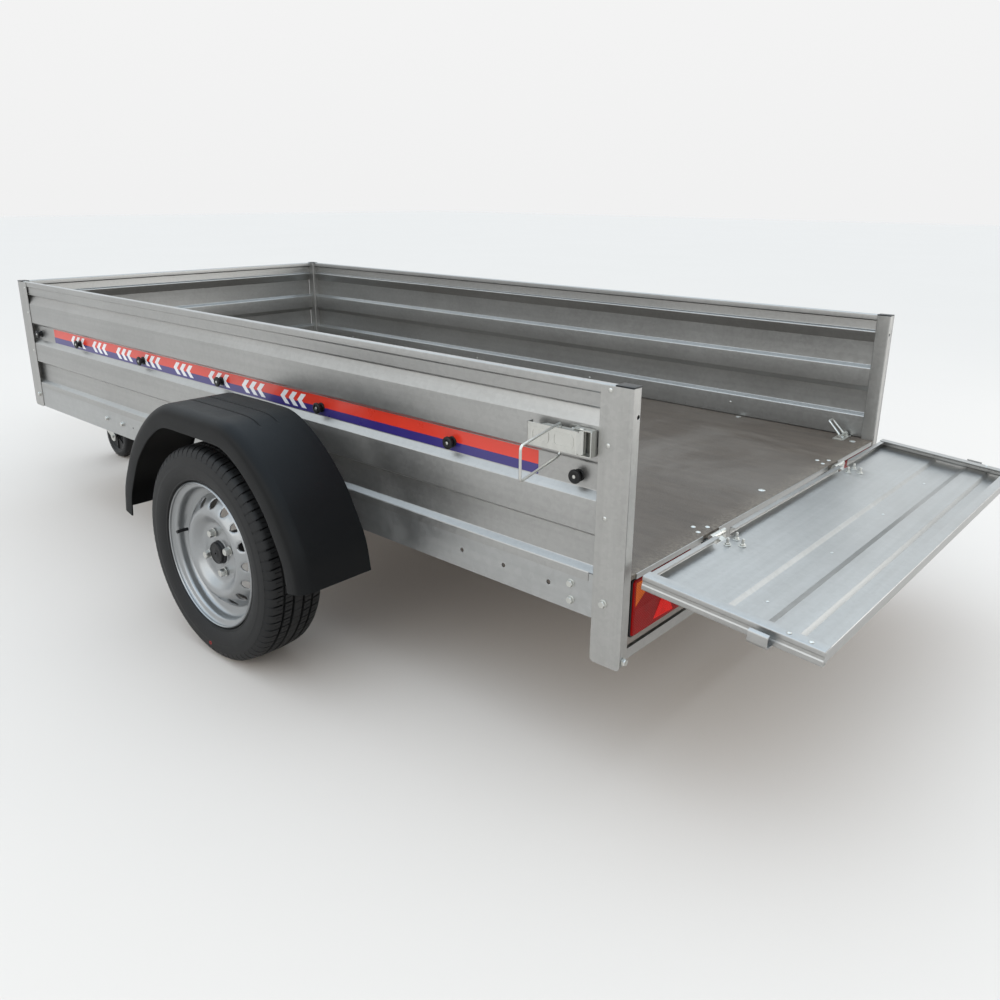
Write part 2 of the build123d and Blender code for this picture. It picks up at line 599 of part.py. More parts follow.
# ---------------------------------------------------------------- tailgate, let down
tilt = radians(gate_droop)
gate_u = Vector(cos(tilt), 0, -sin(tilt))
gate_w = Vector(sin(tilt), 0, cos(tilt))
hinge_point = Vector(hinge_x, 0, hinge_z)
gate_side = Plane(origin=hinge_point, x_dir=gate_u, z_dir=(0, -1, 0))
gate_flat = Plane(origin=hinge_point, x_dir=gate_u, z_dir=gate_w)
gate_half = half - gate_inset
channel_wall = 2.0
pan_high = -6.0
pan_low = -13.0
pan_top = gate_top - channel_wall

with BuildPart() as gate_sheet:
    upper, lower = pan_high - sheet_thick, pan_low - sheet_thick
    line = [(gate_start + 12, pan_top), (gate_start, pan_top), (gate_start, upper),
            (gate_start + 144, upper), (gate_start + 152, lower), (gate_start + 218, lower),
            (gate_start + 233, upper), (gate_start + 279, upper), (gate_start + 287, lower),
            (gate_end, lower), (gate_end, pan_top), (gate_end - 22, pan_top)]
    extrude(outline(gate_side, sheet(line, sheet_thick)), amount=gate_half - channel_wall, both=True)
    with BuildSketch(gate_flat.offset(-30)):
        with Locations((gate_start, -hinge_y), (gate_start, hinge_y)):
            Rectangle(16, 68)
    extrude(amount=30 + pan_high + 8, mode=Mode.SUBTRACT)


def gate_channel():
    """End channel at the left of the tailgate with the hooked catch for the latch bail."""
    with BuildPart() as item:
        line = [(-gate_half + 14, gate_low), (-gate_half, gate_low), (-gate_half, gate_top),
                (-gate_half + 25, gate_top)]
        end_plane = Plane(origin=hinge_point + gate_u * gate_start, x_dir=(0, 1, 0), z_dir=gate_u)
        extrude(outline(end_plane, sheet(line[::-1], channel_wall)), amount=gate_length)
        catch_plane = Plane(origin=hinge_point + gate_u * 232, x_dir=(0, 1, 0), z_dir=gate_u)
        hook = [(-gate_half + 12, gate_low), (-half + 4, gate_low), (-half - 2, gate_low + 6),
                (-half - 2, gate_top - 5), (-half + 4, gate_top - 4)]
        extrude(outline(catch_plane, sheet(hook, -3.0)), amount=36)
    return item


gate_end_left = gate_channel()
with BuildPart() as gate_end_right:
    mirror(gate_end_left.part, about=Plane.XZ)

knuckle = 6.5
pin_radius = 4.0
leaf_thick = 3.0
leaf_high = pan_high - sheet_thick
with BuildPart() as gate_hinge_leaves:
    for middle in (-hinge_y, hinge_y):
        plane = gate_side.offset(-middle - 9.5)
        extrude(outline(plane, [(-3, -2), (3, -2), (16, leaf_high), (16, leaf_high - leaf_thick),
                                (-3, leaf_high - leaf_thick)]), amount=19)
        plane = gate_side.offset(-middle - 30)
        extrude(outline(plane, [(15, leaf_high), (72, leaf_high), (72, leaf_high - leaf_thick),
                                (15, leaf_high - leaf_thick)]), amount=60)
        rod((hinge_x, middle, hinge_z), knuckle, 19, along_y)
    for middle in (-hinge_y, hinge_y):
        rod((hinge_x, middle, hinge_z), pin_radius + running_gap, 60, along_y, Mode.SUBTRACT)

stud_spots = [(hinge_ahead, middle + aside) for middle in (-hinge_y, hinge_y)
              for hinge_ahead, aside in ((34, -20), (34, 20), (58, 0))]
gate_rivet_spots = [(195, share * gate_half) for share in (-0.788, -0.310, 0.172, 0.651)]
with BuildPart() as gate_fasteners:
    for ahead, across in stud_spots:
        foot = hinge_point + gate_u * ahead + gate_w * pan_high + Vector(0, across, 0)
        with Locations(Plane(origin=foot, x_dir=gate_u, z_dir=gate_w)):
            Cylinder(6, 5, align=(Align.CENTER, Align.CENTER, Align.MIN))
            Cylinder(3, 16, align=(Align.CENTER, Align.CENTER, Align.MIN))
    for ahead, across in gate_rivet_spots:
        foot = hinge_point + gate_u * ahead + gate_w * pan_low + Vector(0, across, 0)
        with Locations(Plane(origin=foot, x_dir=gate_u, z_dir=gate_w)):
            Cylinder(3.5, 1.5, align=(Align.CENTER, Align.CENTER, Align.MIN))
    for ahead in (gate_end - 66.5, gate_end - 28.5):
        for across in (-gate_half + 12, gate_half - 12):
            foot = hinge_point + gate_u * ahead + gate_w * gate_top + Vector(0, across, 0)
            with Locations(Plane(origin=foot, x_dir=gate_u, z_dir=gate_w)):
                Cylinder(4.5, 2.5, align=(Align.CENTER, Align.CENTER, Align.MIN))

with BuildPart() as deck_hinge_leaves:
    for middle in (-hinge_y, hinge_y):
        for low in (middle - 30, middle + 10):
            block(rear_x - 14, hinge_x, low, low + 20, deck_low - 9, deck_low - 2)
            block(hinge_x - 5, hinge_x + 5, low, low + 20, deck_low - 9, hinge_z)
            rod((hinge_x, low + 10, hinge_z), knuckle, 20, along_y)
        block(rear_x - 14, rear_x - 3, middle - 30, middle + 30, deck_low - 9, deck_low - 2)
        rod((hinge_x, middle, hinge_z), pin_radius, 60, along_y)
        block(rear_x - 32, rear_x - 3, middle - 30, middle + 30, deck_low - 5, deck_low - 2)

# ---------------------------------------------------------------- lashing rings
ring_x = rear_x - 82.0
ring_y = half - 53.0
ring_z = deck_top + 8.5
ring_wire = 3.5
ring_lean = 45.0
with BuildPart() as lashing_bases:
    for side in (-1, 1):
        block(ring_x - 16, ring_x + 16, side * (ring_y - 34), side * (ring_y + 34), deck_top, deck_top + 2.5)
        for shift in (-26, 26):
            middle = side * (ring_y + shift)
            block(ring_x - 7, ring_x + 7, middle - 3, middle + 3, deck_top + 2.5, ring_z + 6)
    for side in (-1, 1):
        for shift in (-26, 26):
            rod((ring_x, side * (ring_y + shift), ring_z), ring_wire + running_gap, 12, along_y, Mode.SUBTRACT)


def lashing_ring():
    """Wire ring of the left rear lashing point, leaning forward."""
    with BuildPart() as item:
        plane = Plane(origin=(ring_x, -ring_y, ring_z),
                      x_dir=(-cos(radians(ring_lean)), 0, sin(radians(ring_lean))), z_dir=(sin(radians(ring_lean)),
                      0, cos(radians(ring_lean))))
        with BuildLine(plane) as path:
            FilletPolyline((0, 31), (0, 15), (54, 13), (54, -13), (0, -15), (0, -31), radius=6)
        with BuildSketch(Plane(origin=path.line @ 0, z_dir=path.line % 0)):
            Circle(ring_wire)
        sweep(path=path.line)
    return item


lashing_ring_left = lashing_ring()
with BuildPart() as lashing_ring_right:
    mirror(lashing_ring_left.part, about=Plane.XZ)

# ---------------------------------------------------------------- fittings and fasteners
knob_shares = (0.0401, 0.1612, 0.3270, 0.4938, 0.6618, 0.8301, 0.9550)
knob_z = box_top - 185.0
with BuildPart() as tarp_knobs:
    for share in knob_shares:
        for side in (-1, 1):
            x, face = front_x + share * (rear_x - front_x), half - rib
            rod((x, side * (face + 6), knob_z), 7, 12, along_y)
            rod((x, side * (face + 2), knob_z), 12, 4, along_y)
            rod((x, side * (face + 15), knob_z), 14, 7, along_y)

with BuildPart() as panel_rivets:
    for side in (-1, 1):
        for x, drops in ((rear_x - 48, (10, 111, 250)), (front_x + 54, (23, 111, 250))):
            for drop in drops:
                rod((x, side * (post_out + 1), box_top - drop), 4.5, 2, along_y)
        for x in (front_x + 300, axle_x - 560, axle_x, axle_x + 560):
            rod((x, side * (half - rib - sheet_thick - 0.75), deck_top + 39), 4, 1.5, along_y)

with BuildPart() as frame_bolts:
    for side in (-1, 1):
        for bolt_x, up in ((foot_x - 54, 44), (foot_x + 55, 43), (rear_x - 121, 57), (rear_x - 120, 22)):
            hexagon((bolt_x, side * (half + 3.5), rail_low + up), 13, 7, along_y)
        hexagon((rear_x - 43, side * (post_out + 3.5), rail_low + 39), 13, 7, along_y)
        hexagon((front_x + 50, side * (post_out + 3.5), rail_low + 44), 13, 7, along_y)
        hexagon((rear_x + 3.5, side * (post_out - 13), rear_foot + 18), 13, 7, along_x)
        for shift in (-70, 70):
            hexagon((beam_x + shift, side * (half - 20), beam_z + 26.5), 13, 7, upright)

with BuildPart() as deck_bolts:
    edge_bolts = [(43, half - 73), (43, 73 - half), (43, -3), (422, half - 32), (422, 32 - half)]
    far_bolts = [(1622, half - 57), (1622, 57 - half), (1022, 0)]
    hinge_bolts = [(43, hinge_y), (20, hinge_y - 20), (20, hinge_y + 20)]
    for before, across in edge_bolts + far_bolts + hinge_bolts + [(b, -y) for b, y in hinge_bolts]:
        radius = 9 if abs(abs(across) - hinge_y) > 30 else 5.5
        with Locations((rear_x - before, across, deck_top)):
            Cone(radius, radius * 0.55, 2.6, align=(Align.CENTER, Align.CENTER, Align.MIN))

# ---------------------------------------------------------------- files
save(side_rail_left, "side_rail_left")
save(side_rail_right, "side_rail_right")
save(crossmembers, "crossmembers")
save(rear_crossmember, "rear_crossmember")
save(deck_board, "deck_board")
save(bumper_bar, "bumper_bar")
save(drawbar_left, "drawbar_left")
save(drawbar_right, "drawbar_right")
save(coupling_housing, "coupling_housing")
save(coupling_handle, "coupling_handle")
save(axle_beam, "axle_beam")
save(swing_arm_left, "swing_arm_left")
save(swing_arm_right, "swing_arm_right")
save(hub_left, "hub_left")
save(hub_right, "hub_right")
save(rim_left, "rim_left")
save(rim_right, "rim_right")
save(tyre_left, "tyre_left")
save(tyre_right, "tyre_right")
save(wheel_bolts_left, "wheel_bolts_left")
save(wheel_bolts_right, "wheel_bolts_right")
save(mudguard_left, "mudguard_left")
save(mudguard_right, "mudguard_right")
save(mudguard_stays, "mudguard_stays")
save(side_panel_left, "side_panel_left")
save(side_panel_right, "side_panel_right")
save(front_panel, "front_panel")
save(post_front_left, "post_front_left")
save(post_front_right, "post_front_right")
save(post_rear_left, "post_rear_left")
save(post_rear_right, "post_rear_right")
save(post_caps, "post_caps")
save(light_housing_left, "light_housing_left")
save(light_housing_right, "light_housing_right")
save(light_lens_left, "light_lens_left")
save(light_lens_right, "light_lens_right")
save(latch_bases, "latch_bases")
save(latch_handle_left, "latch_handle_left")
save(latch_handle_right, "latch_handle_right")
save(latch_bail_left, "latch_bail_left")
save(latch_bail_right, "latch_bail_right")
save(jockey_clamp, "jockey_clamp")
save(jockey_tube, "jockey_tube")
save(jockey_inner, "jockey_inner")
save(jockey_fork, "jockey_fork")
save(jockey_wheel, "jockey_wheel")
save(jockey_crank, "jockey_crank")
save(gate_sheet, "gate_sheet")
save(gate_end_left, "gate_end_left")
save(gate_end_right, "gate_end_right")
save(gate_hinge_leaves, "gate_hinge_leaves")
save(gate_fasteners, "gate_fasteners")
save(deck_hinge_leaves, "deck_hinge_leaves")
save(lashing_bases, "lashing_bases")
save(lashing_ring_left, "lashing_ring_left")
save(lashing_ring_right, "lashing_ring_right")
save(tarp_knobs, "tarp_knobs")
save(panel_rivets, "panel_rivets")
save(frame_bolts, "frame_bolts")
save(deck_bolts, "deck_bolts")
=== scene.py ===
import json
import random
from math import cos, hypot, pi, radians, sin, tan
import bmesh
import bpy
from mathutils import Matrix, Vector

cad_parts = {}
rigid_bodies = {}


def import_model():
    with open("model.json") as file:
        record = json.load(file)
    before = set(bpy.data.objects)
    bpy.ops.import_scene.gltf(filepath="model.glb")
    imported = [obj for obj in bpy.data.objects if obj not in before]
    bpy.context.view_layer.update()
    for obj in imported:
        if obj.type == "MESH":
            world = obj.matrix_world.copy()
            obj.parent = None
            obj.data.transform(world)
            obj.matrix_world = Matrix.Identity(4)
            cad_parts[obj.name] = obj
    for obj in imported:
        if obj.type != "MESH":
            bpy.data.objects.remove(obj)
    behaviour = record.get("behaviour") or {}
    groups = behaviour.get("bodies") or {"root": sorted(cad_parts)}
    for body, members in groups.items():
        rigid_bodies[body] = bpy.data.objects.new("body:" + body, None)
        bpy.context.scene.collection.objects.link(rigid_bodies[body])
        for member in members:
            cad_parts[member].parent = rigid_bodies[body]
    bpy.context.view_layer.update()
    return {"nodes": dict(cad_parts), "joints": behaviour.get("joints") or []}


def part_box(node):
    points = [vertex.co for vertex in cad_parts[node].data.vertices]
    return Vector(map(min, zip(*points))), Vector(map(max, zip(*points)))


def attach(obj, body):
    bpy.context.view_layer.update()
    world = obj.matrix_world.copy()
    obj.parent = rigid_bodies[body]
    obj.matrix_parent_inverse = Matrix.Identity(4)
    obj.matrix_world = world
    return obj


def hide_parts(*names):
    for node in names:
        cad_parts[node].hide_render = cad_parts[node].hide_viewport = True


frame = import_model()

random.seed(7)
joints = {j["name"]: j for j in frame["joints"]}
MM = 0.001
link = bpy.context.scene.collection.objects.link

# ---- positions from the frame
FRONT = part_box("front_panel")[0].x
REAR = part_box("post_rear_left")[1].x
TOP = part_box("side_panel_left")[1].z
HALF = -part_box("side_rail_left")[0].y
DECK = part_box("deck_board")[1].z
RAIL_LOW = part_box("side_rail_left")[0].z
wheel_low, wheel_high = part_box("tyre_left")
AXLE_X = (wheel_low.x + wheel_high.x) / 2
WHEEL_Y = -(wheel_low.y + wheel_high.y) / 2
WHEEL_R = (wheel_high.z - wheel_low.z) / 2
HINGE = Vector(joints["tailgate_hinge"]["pos_m"])
DECK_LOW = DECK - 9 * MM
SHEET = 1.2 * MM
RIB = 14 * MM
POST_WIDE, POST_DEEP, POST_FLANGE, POST_WALL = 38 * MM, 27 * MM, 69 * MM, 2 * MM
POST_OUT = HALF + POST_WALL
HUB = Vector((AXLE_X, -WHEEL_Y, WHEEL_R))
LEFTWARD, UPWARD, REARWARD = (0, -1, 0), (0, 0, 1), (1, 0, 0)


# ---- node material helpers
def set_stops(node, stops):
    """Gives a colour ramp its (place, colour or grey) stops."""
    elements = node.color_ramp.elements
    elements.remove(elements[0])
    for i, (at, value) in enumerate(stops):
        e = elements[0] if i == 0 else elements.new(at)
        e.position = at
        e.color = (*value, 1) if isinstance(value, tuple) else (value, value, value, 1)


class Mat:
    """A node material with shorthand for its nodes."""

    def __init__(self, name):
        self.m = bpy.data.materials.new(name)
        self.m.use_nodes = True
        self.t = self.m.node_tree
        self.t.nodes.clear()
        self.out = self.t.nodes.new("ShaderNodeOutputMaterial")
        self.b = self.t.nodes.new("ShaderNodeBsdfPrincipled")
        self.t.links.new(self.b.outputs[0], self.out.inputs[0])
        self.co = self.t.nodes.new("ShaderNodeTexCoord").outputs["Object"]

    def node(self, kind, links=(), **sets):
        n = self.t.nodes.new("ShaderNode" + kind)
        for key, value in sets.items():
            if hasattr(n, key):
                setattr(n, key, value)
            else:
                n.inputs[key].default_value = value
        for key, source in dict(links).items():
            self.t.links.new(source, n.inputs[key])
        return n

    def stretch(self, scale, turn=(0, 0, 0)):
        n = self.node("Mapping", {"Vector": self.co})
        n.inputs["Scale"].default_value = scale
        n.inputs["Rotation"].default_value = turn
        return n.outputs[0]

    def noise(self, scale, detail=3.0, rough=0.5, vector=None, distortion=0.0):
        return self.node("TexNoise", {"Vector": vector or self.co}, Scale=scale, Detail=detail,
            Roughness=rough, Distortion=distortion).outputs["Fac"]

    def cells(self, scale, output="Color"):
        return self.node("TexVoronoi", {"Vector": self.co}, Scale=scale).outputs[output]

    def ramp(self, source, *stops):
        n = self.node("ValToRGB", {"Fac": source})
        set_stops(n, stops)
        return n.outputs["Color"]

    def math(self, op, a, b=0.0, clamp=False):
        n = self.node("Math", operation=op, use_clamp=clamp)
        for i, x in enumerate((a, b)):
            if isinstance(x, (int, float)):
                n.inputs[i].default_value = x
            else:
                self.t.links.new(x, n.inputs[i])
        return n.outputs[0]

    def times(self, a, b, clamp=False):
        return self.math("MULTIPLY", a, b, clamp)

    def plus(self, a, b):
        return self.math("ADD", a, b)

    def mix(self, kind, fac, a, b):
        n = self.node("Mix", data_type="RGBA", blend_type=kind)
        for i, x in ((0, fac), (6, a), (7, b)):
            if isinstance(x, (int, float)):
                n.inputs[i].default_value = x
            elif isinstance(x, tuple):
                n.inputs[i].default_value = (*x, 1)
            else:
                self.t.links.new(x, n.inputs[i])
        return n.outputs[2]

    def vary(self, tone, source, low, high, amount=0.5):
        """The tone darkened and lightened by a mask."""
        return self.mix("MULTIPLY", amount, tone, self.ramp(source, (0.3, low), (0.7, high)))

    def axis(self, letter, vector=None):
        n = self.node("SeparateXYZ", {"Vector": vector or self.co})
        return n.outputs[letter]

    def bump(self, height, strength, distance, under=None):
        links = {"Height": height}
        if under is not None:
            links["Normal"] = under
        return self.node("Bump", links, Strength=strength, Distance=distance).outputs[0]

    def done(self, colour=None, rough=None, normal=None, **flat):
        for key, value in (("Base Color", colour), ("Roughness", rough), ("Normal", normal)):
            if value is None:
                continue
            if isinstance(value, tuple):
                self.b.inputs[key].default_value = (*value, 1)
            elif isinstance(value, float):
                self.b.inputs[key].default_value = value
            else:
                self.t.links.new(value, self.b.inputs[key])
        for key, value in flat.items():
            self.b.inputs[key.replace("_", " ")].default_value = value
        return self.m


def zinc(name, base, rough, spangle, grain_axis=0, streak=0.5):
    """Galvanised sheet: faint spangle, rolling streaks along one axis, dull patches."""
    k = Mat(name)
    scale = [60.0, 60.0, 60.0]
    scale[grain_axis] = 1.3
    streaks = k.noise(1.0, 4.0, 0.62, k.stretch(tuple(scale)))
    fine = [420.0, 420.0, 420.0]
    fine[grain_axis] = 9.0
    hair = k.noise(1.0, 2.0, 0.5, k.stretch(tuple(fine)))
    patch = k.noise(3.1, 5.0, 0.6, distortion=0.6)
    flake = k.axis("X", k.cells(spangle))
    tone = k.ramp(patch, (0.3, tuple(c * 0.94 for c in base)), (0.5, base),
        (0.72, tuple(min(1, c * 1.05) for c in base)))
    tone = k.mix("MULTIPLY", 0.5, tone, k.ramp(flake, (0.0, 0.90), (1.0, 1.06)))
    tone = k.mix("MULTIPLY", streak, tone, k.ramp(streaks, (0.3, 0.86), (0.7, 1.06)))
    gloss = k.plus(k.times(patch, 0.08), k.times(flake, 0.05))
    gloss = k.plus(gloss, rough - 0.065)
    wave = k.bump(k.noise(3.2, 1.0, 0.3), 0.10, 0.003)
    grain = k.bump(hair, 0.05, 0.0002, wave)
    return k.done(tone, gloss, grain, Metallic=0.94)


def plastic(name, base, rough, grain=900.0, dust=0.35, strength=0.25, shine=0.3):
    """Moulded plastic: leather-like grain and a little dust."""
    k = Mat(name)
    patch = k.noise(6.0, 5.0, 0.6)
    speck = k.noise(140.0, 3.0, 0.7)
    tone = k.mix("MIX", k.times(k.ramp(patch, (0.42, 0.0), (0.75, 1.0)), dust), base,
        tuple(min(1.0, c * 1.8 + 0.003) for c in base))
    tone = k.vary(tone, speck, 0.82, 1.12)
    gloss = k.plus(k.times(patch, 0.22), rough - 0.1)
    pores = k.bump(k.cells(grain, output="Distance"), strength, 0.0005)
    return k.done(tone, gloss, pores, Specular_IOR_Level=shine)


ZINC = (0.40, 0.398, 0.388)
galvanised = zinc("galvanised_sheet", ZINC, 0.39, 120.0)
galvanised_upright = zinc("galvanised_upright", (0.43, 0.426, 0.412), 0.40, 130.0, 2)
galvanised_cross = zinc("galvanised_cross", ZINC, 0.37, 110.0, 1)
frame_zinc = zinc("galvanised_frame", (0.43, 0.435, 0.43), 0.40, 70.0, 0, 0.35)
bright_zinc = zinc("bright_zinc", (0.56, 0.56, 0.53), 0.32, 80.0, 2, 0.12)
coupling_zinc = zinc("coupling_zinc", (0.52, 0.52, 0.50), 0.36, 90.0, 1, 0.3)
guard_plastic = plastic("guard_plastic", (0.0016, 0.0020, 0.0024), 0.46, 700.0, 0.08, 0.3, 0.18)
black_plastic = plastic("black_plastic", (0.0065, 0.0065, 0.007), 0.38, 1100.0, 0.2)
hub_iron = plastic("hub_iron", (0.03, 0.03, 0.032), 0.52, 400.0, 0.5, 0.5)


def rim_paint():
    k = Mat("rim_silver")
    flake = k.axis("X", k.cells(2600.0))
    patch = k.noise(9.0, 4.0, 0.6)
    tone = k.mix("MULTIPLY", 0.6, (0.31, 0.318, 0.322), k.ramp(flake, (0.0, 0.80), (1.0, 1.15)))
    tone = k.vary(tone, patch, 0.86, 1.05)
    peel = k.bump(k.noise(260.0, 2.0, 0.5), 0.06, 0.0006)
    gloss = k.plus(k.times(patch, 0.12), 0.26)
    return k.done(tone, gloss, peel, Metallic=0.72, Coat_Weight=0.35, Coat_Roughness=0.12)


def rubber():
    k = Mat("tyre_rubber")
    patch = k.noise(14.0, 5.0, 0.65)
    speck = k.noise(300.0, 4.0, 0.7)
    tone = k.mix("MIX", k.ramp(patch, (0.38, 0.0), (0.8, 0.55)), (0.0062, 0.0064, 0.0068),
        (0.016, 0.0155, 0.015))
    tone = k.vary(tone, speck, 0.75, 1.2)
    gloss = k.plus(k.times(patch, 0.25), 0.46)
    return k.done(tone, gloss, k.bump(speck, 0.35, 0.0004, k.bump(k.noise(60.0), 0.12, 0.001)),
        Specular_IOR_Level=0.34)


def deck_film():
    """Film-faced plywood: brown phenolic film pressed with a fine wire mesh."""
    k = Mat("plywood_film")
    turned = k.stretch((1.0, 1.0, 1.0), (0, 0, radians(45)))
    pitch = 2 * pi / 0.0042
    waves = [k.math("SINE", k.times(k.axis(a, turned), pitch)) for a in "XY"]
    mesh = k.math("MAXIMUM", *waves)
    grain = k.noise(1.0, 6.0, 0.65, k.stretch((7.0, 42.0, 42.0)), 0.5)
    patch = k.noise(2.6, 6.0, 0.62, distortion=0.9)
    scuff = k.noise(1.0, 4.0, 0.7, k.stretch((5.0, 90.0, 5.0)))
    tone = k.ramp(grain, (0.30, (0.062, 0.047, 0.035)), (0.55, (0.084, 0.064, 0.048)),
        (0.75, (0.108, 0.085, 0.065)))
    tone = k.mix("MIX", k.times(k.ramp(patch, (0.45, 0.0), (0.72, 1.0)), 0.42), tone,
        (0.20, 0.175, 0.15))
    tone = k.mix("MULTIPLY", 0.45, tone, k.ramp(mesh, (0.30, 0.72), (0.95, 1.16)))
    tone = k.mix("MIX", k.times(k.ramp(scuff, (0.60, 0.0), (0.74, 1.0)), 0.12), tone,
        (0.24, 0.21, 0.18))
    far = k.math("SUBTRACT", k.axis("X"), REAR - 0.05)
    worn = k.times(k.times(far, 20.0, True), k.ramp(k.noise(120.0, 5.0, 0.7), (0.42, 0.0), (0.66, 1.0)))
    tone = k.mix("MIX", k.times(worn, 0.5), tone, (0.30, 0.25, 0.19))
    gloss = k.plus(k.times(patch, 0.22), 0.36)
    return k.done(tone, gloss, k.bump(mesh, 0.32, 0.0005, k.bump(grain, 0.08, 0.0006)),
        Specular_IOR_Level=0.34)


def sticker_film():
    """Self-adhesive stripe: upper part red, lower part deep blue."""
    k = Mat("stripe_film")
    z = k.axis("Z")
    border = k.math("GREATER_THAN", z, STRIPE_LOW + 0.42 * (STRIPE_HIGH - STRIPE_LOW))
    fade = k.noise(7.0, 4.0, 0.6)
    tone = k.mix("MIX", border, (0.030, 0.020, 0.155), (0.62, 0.038, 0.018))
    tone = k.vary(tone, fade, 0.85, 1.08)
    skin = k.bump(k.noise(40.0, 3.0, 0.5), 0.08, 0.0008)
    return k.done(tone, k.plus(k.times(fade, 0.15), 0.22), skin, Coat_Weight=0.3, Coat_Roughness=0.15)


def chevron_film():
    k = Mat("chevron_film")
    fade = k.noise(9.0, 4.0, 0.6)
    tone = k.mix("MIX", k.ramp(fade, (0.3, 0.0), (0.7, 1.0)), (0.66, 0.66, 0.68), (0.80, 0.80, 0.81))
    return k.done(tone, 0.3, k.bump(k.noise(60.0), 0.05, 0.0005), Coat_Weight=0.3, Coat_Roughness=0.15)


def lens(name, base, cell, strength):
    """Ribbed lamp lens over a dark reflector."""
    k = Mat(name)
    y, z = k.axis("Y"), k.axis("Z")
    prism = k.math("MAXIMUM", k.math("SINE", k.times(y, 2 * pi / cell)),
        k.math("SINE", k.times(z, 2 * pi / cell)))
    patch = k.noise(45.0, 4.0, 0.6)
    tone = k.mix("MULTIPLY", 0.75, base, k.ramp(prism, (0.1, 0.45), (1.0, 1.35)))
    tone = k.vary(tone, patch, 0.7, 1.2)
    return k.done(tone, 0.30, k.bump(prism, strength, 0.0009), IOR=1.49, Specular_IOR_Level=0.12)


STRIPE_LOW, STRIPE_HIGH = TOP - 205 * MM, TOP - 157 * MM
silver, tyre_mat, deck_mat = rim_paint(), rubber(), deck_film()
PLATED = ("zinc_plated", bright_zinc)
stripe_mat, chevron_mat = sticker_film(), chevron_film()
red_dark = lens("red_lens_dark", (0.30, 0.0022, 0.0020), 0.0035, 0.4)
red_bright = lens("red_reflector", (0.95, 0.008, 0.004), 0.0024, 0.5)
amber = lens("amber_lens", (0.72, 0.13, 0.006), 0.0035, 0.4)
red_ring = plastic("red_ring_paint", (0.5, 0.03, 0.03), 0.5)


# ---- mesh helpers
def soften(piece, width, angle):
    """Small bevel on the edges sharper than an angle."""
    mod = piece.modifiers.new("edge", "BEVEL")
    mod.width, mod.segments = width, 2
    mod.limit_method, mod.angle_limit = "ANGLE", radians(angle)
    return mod


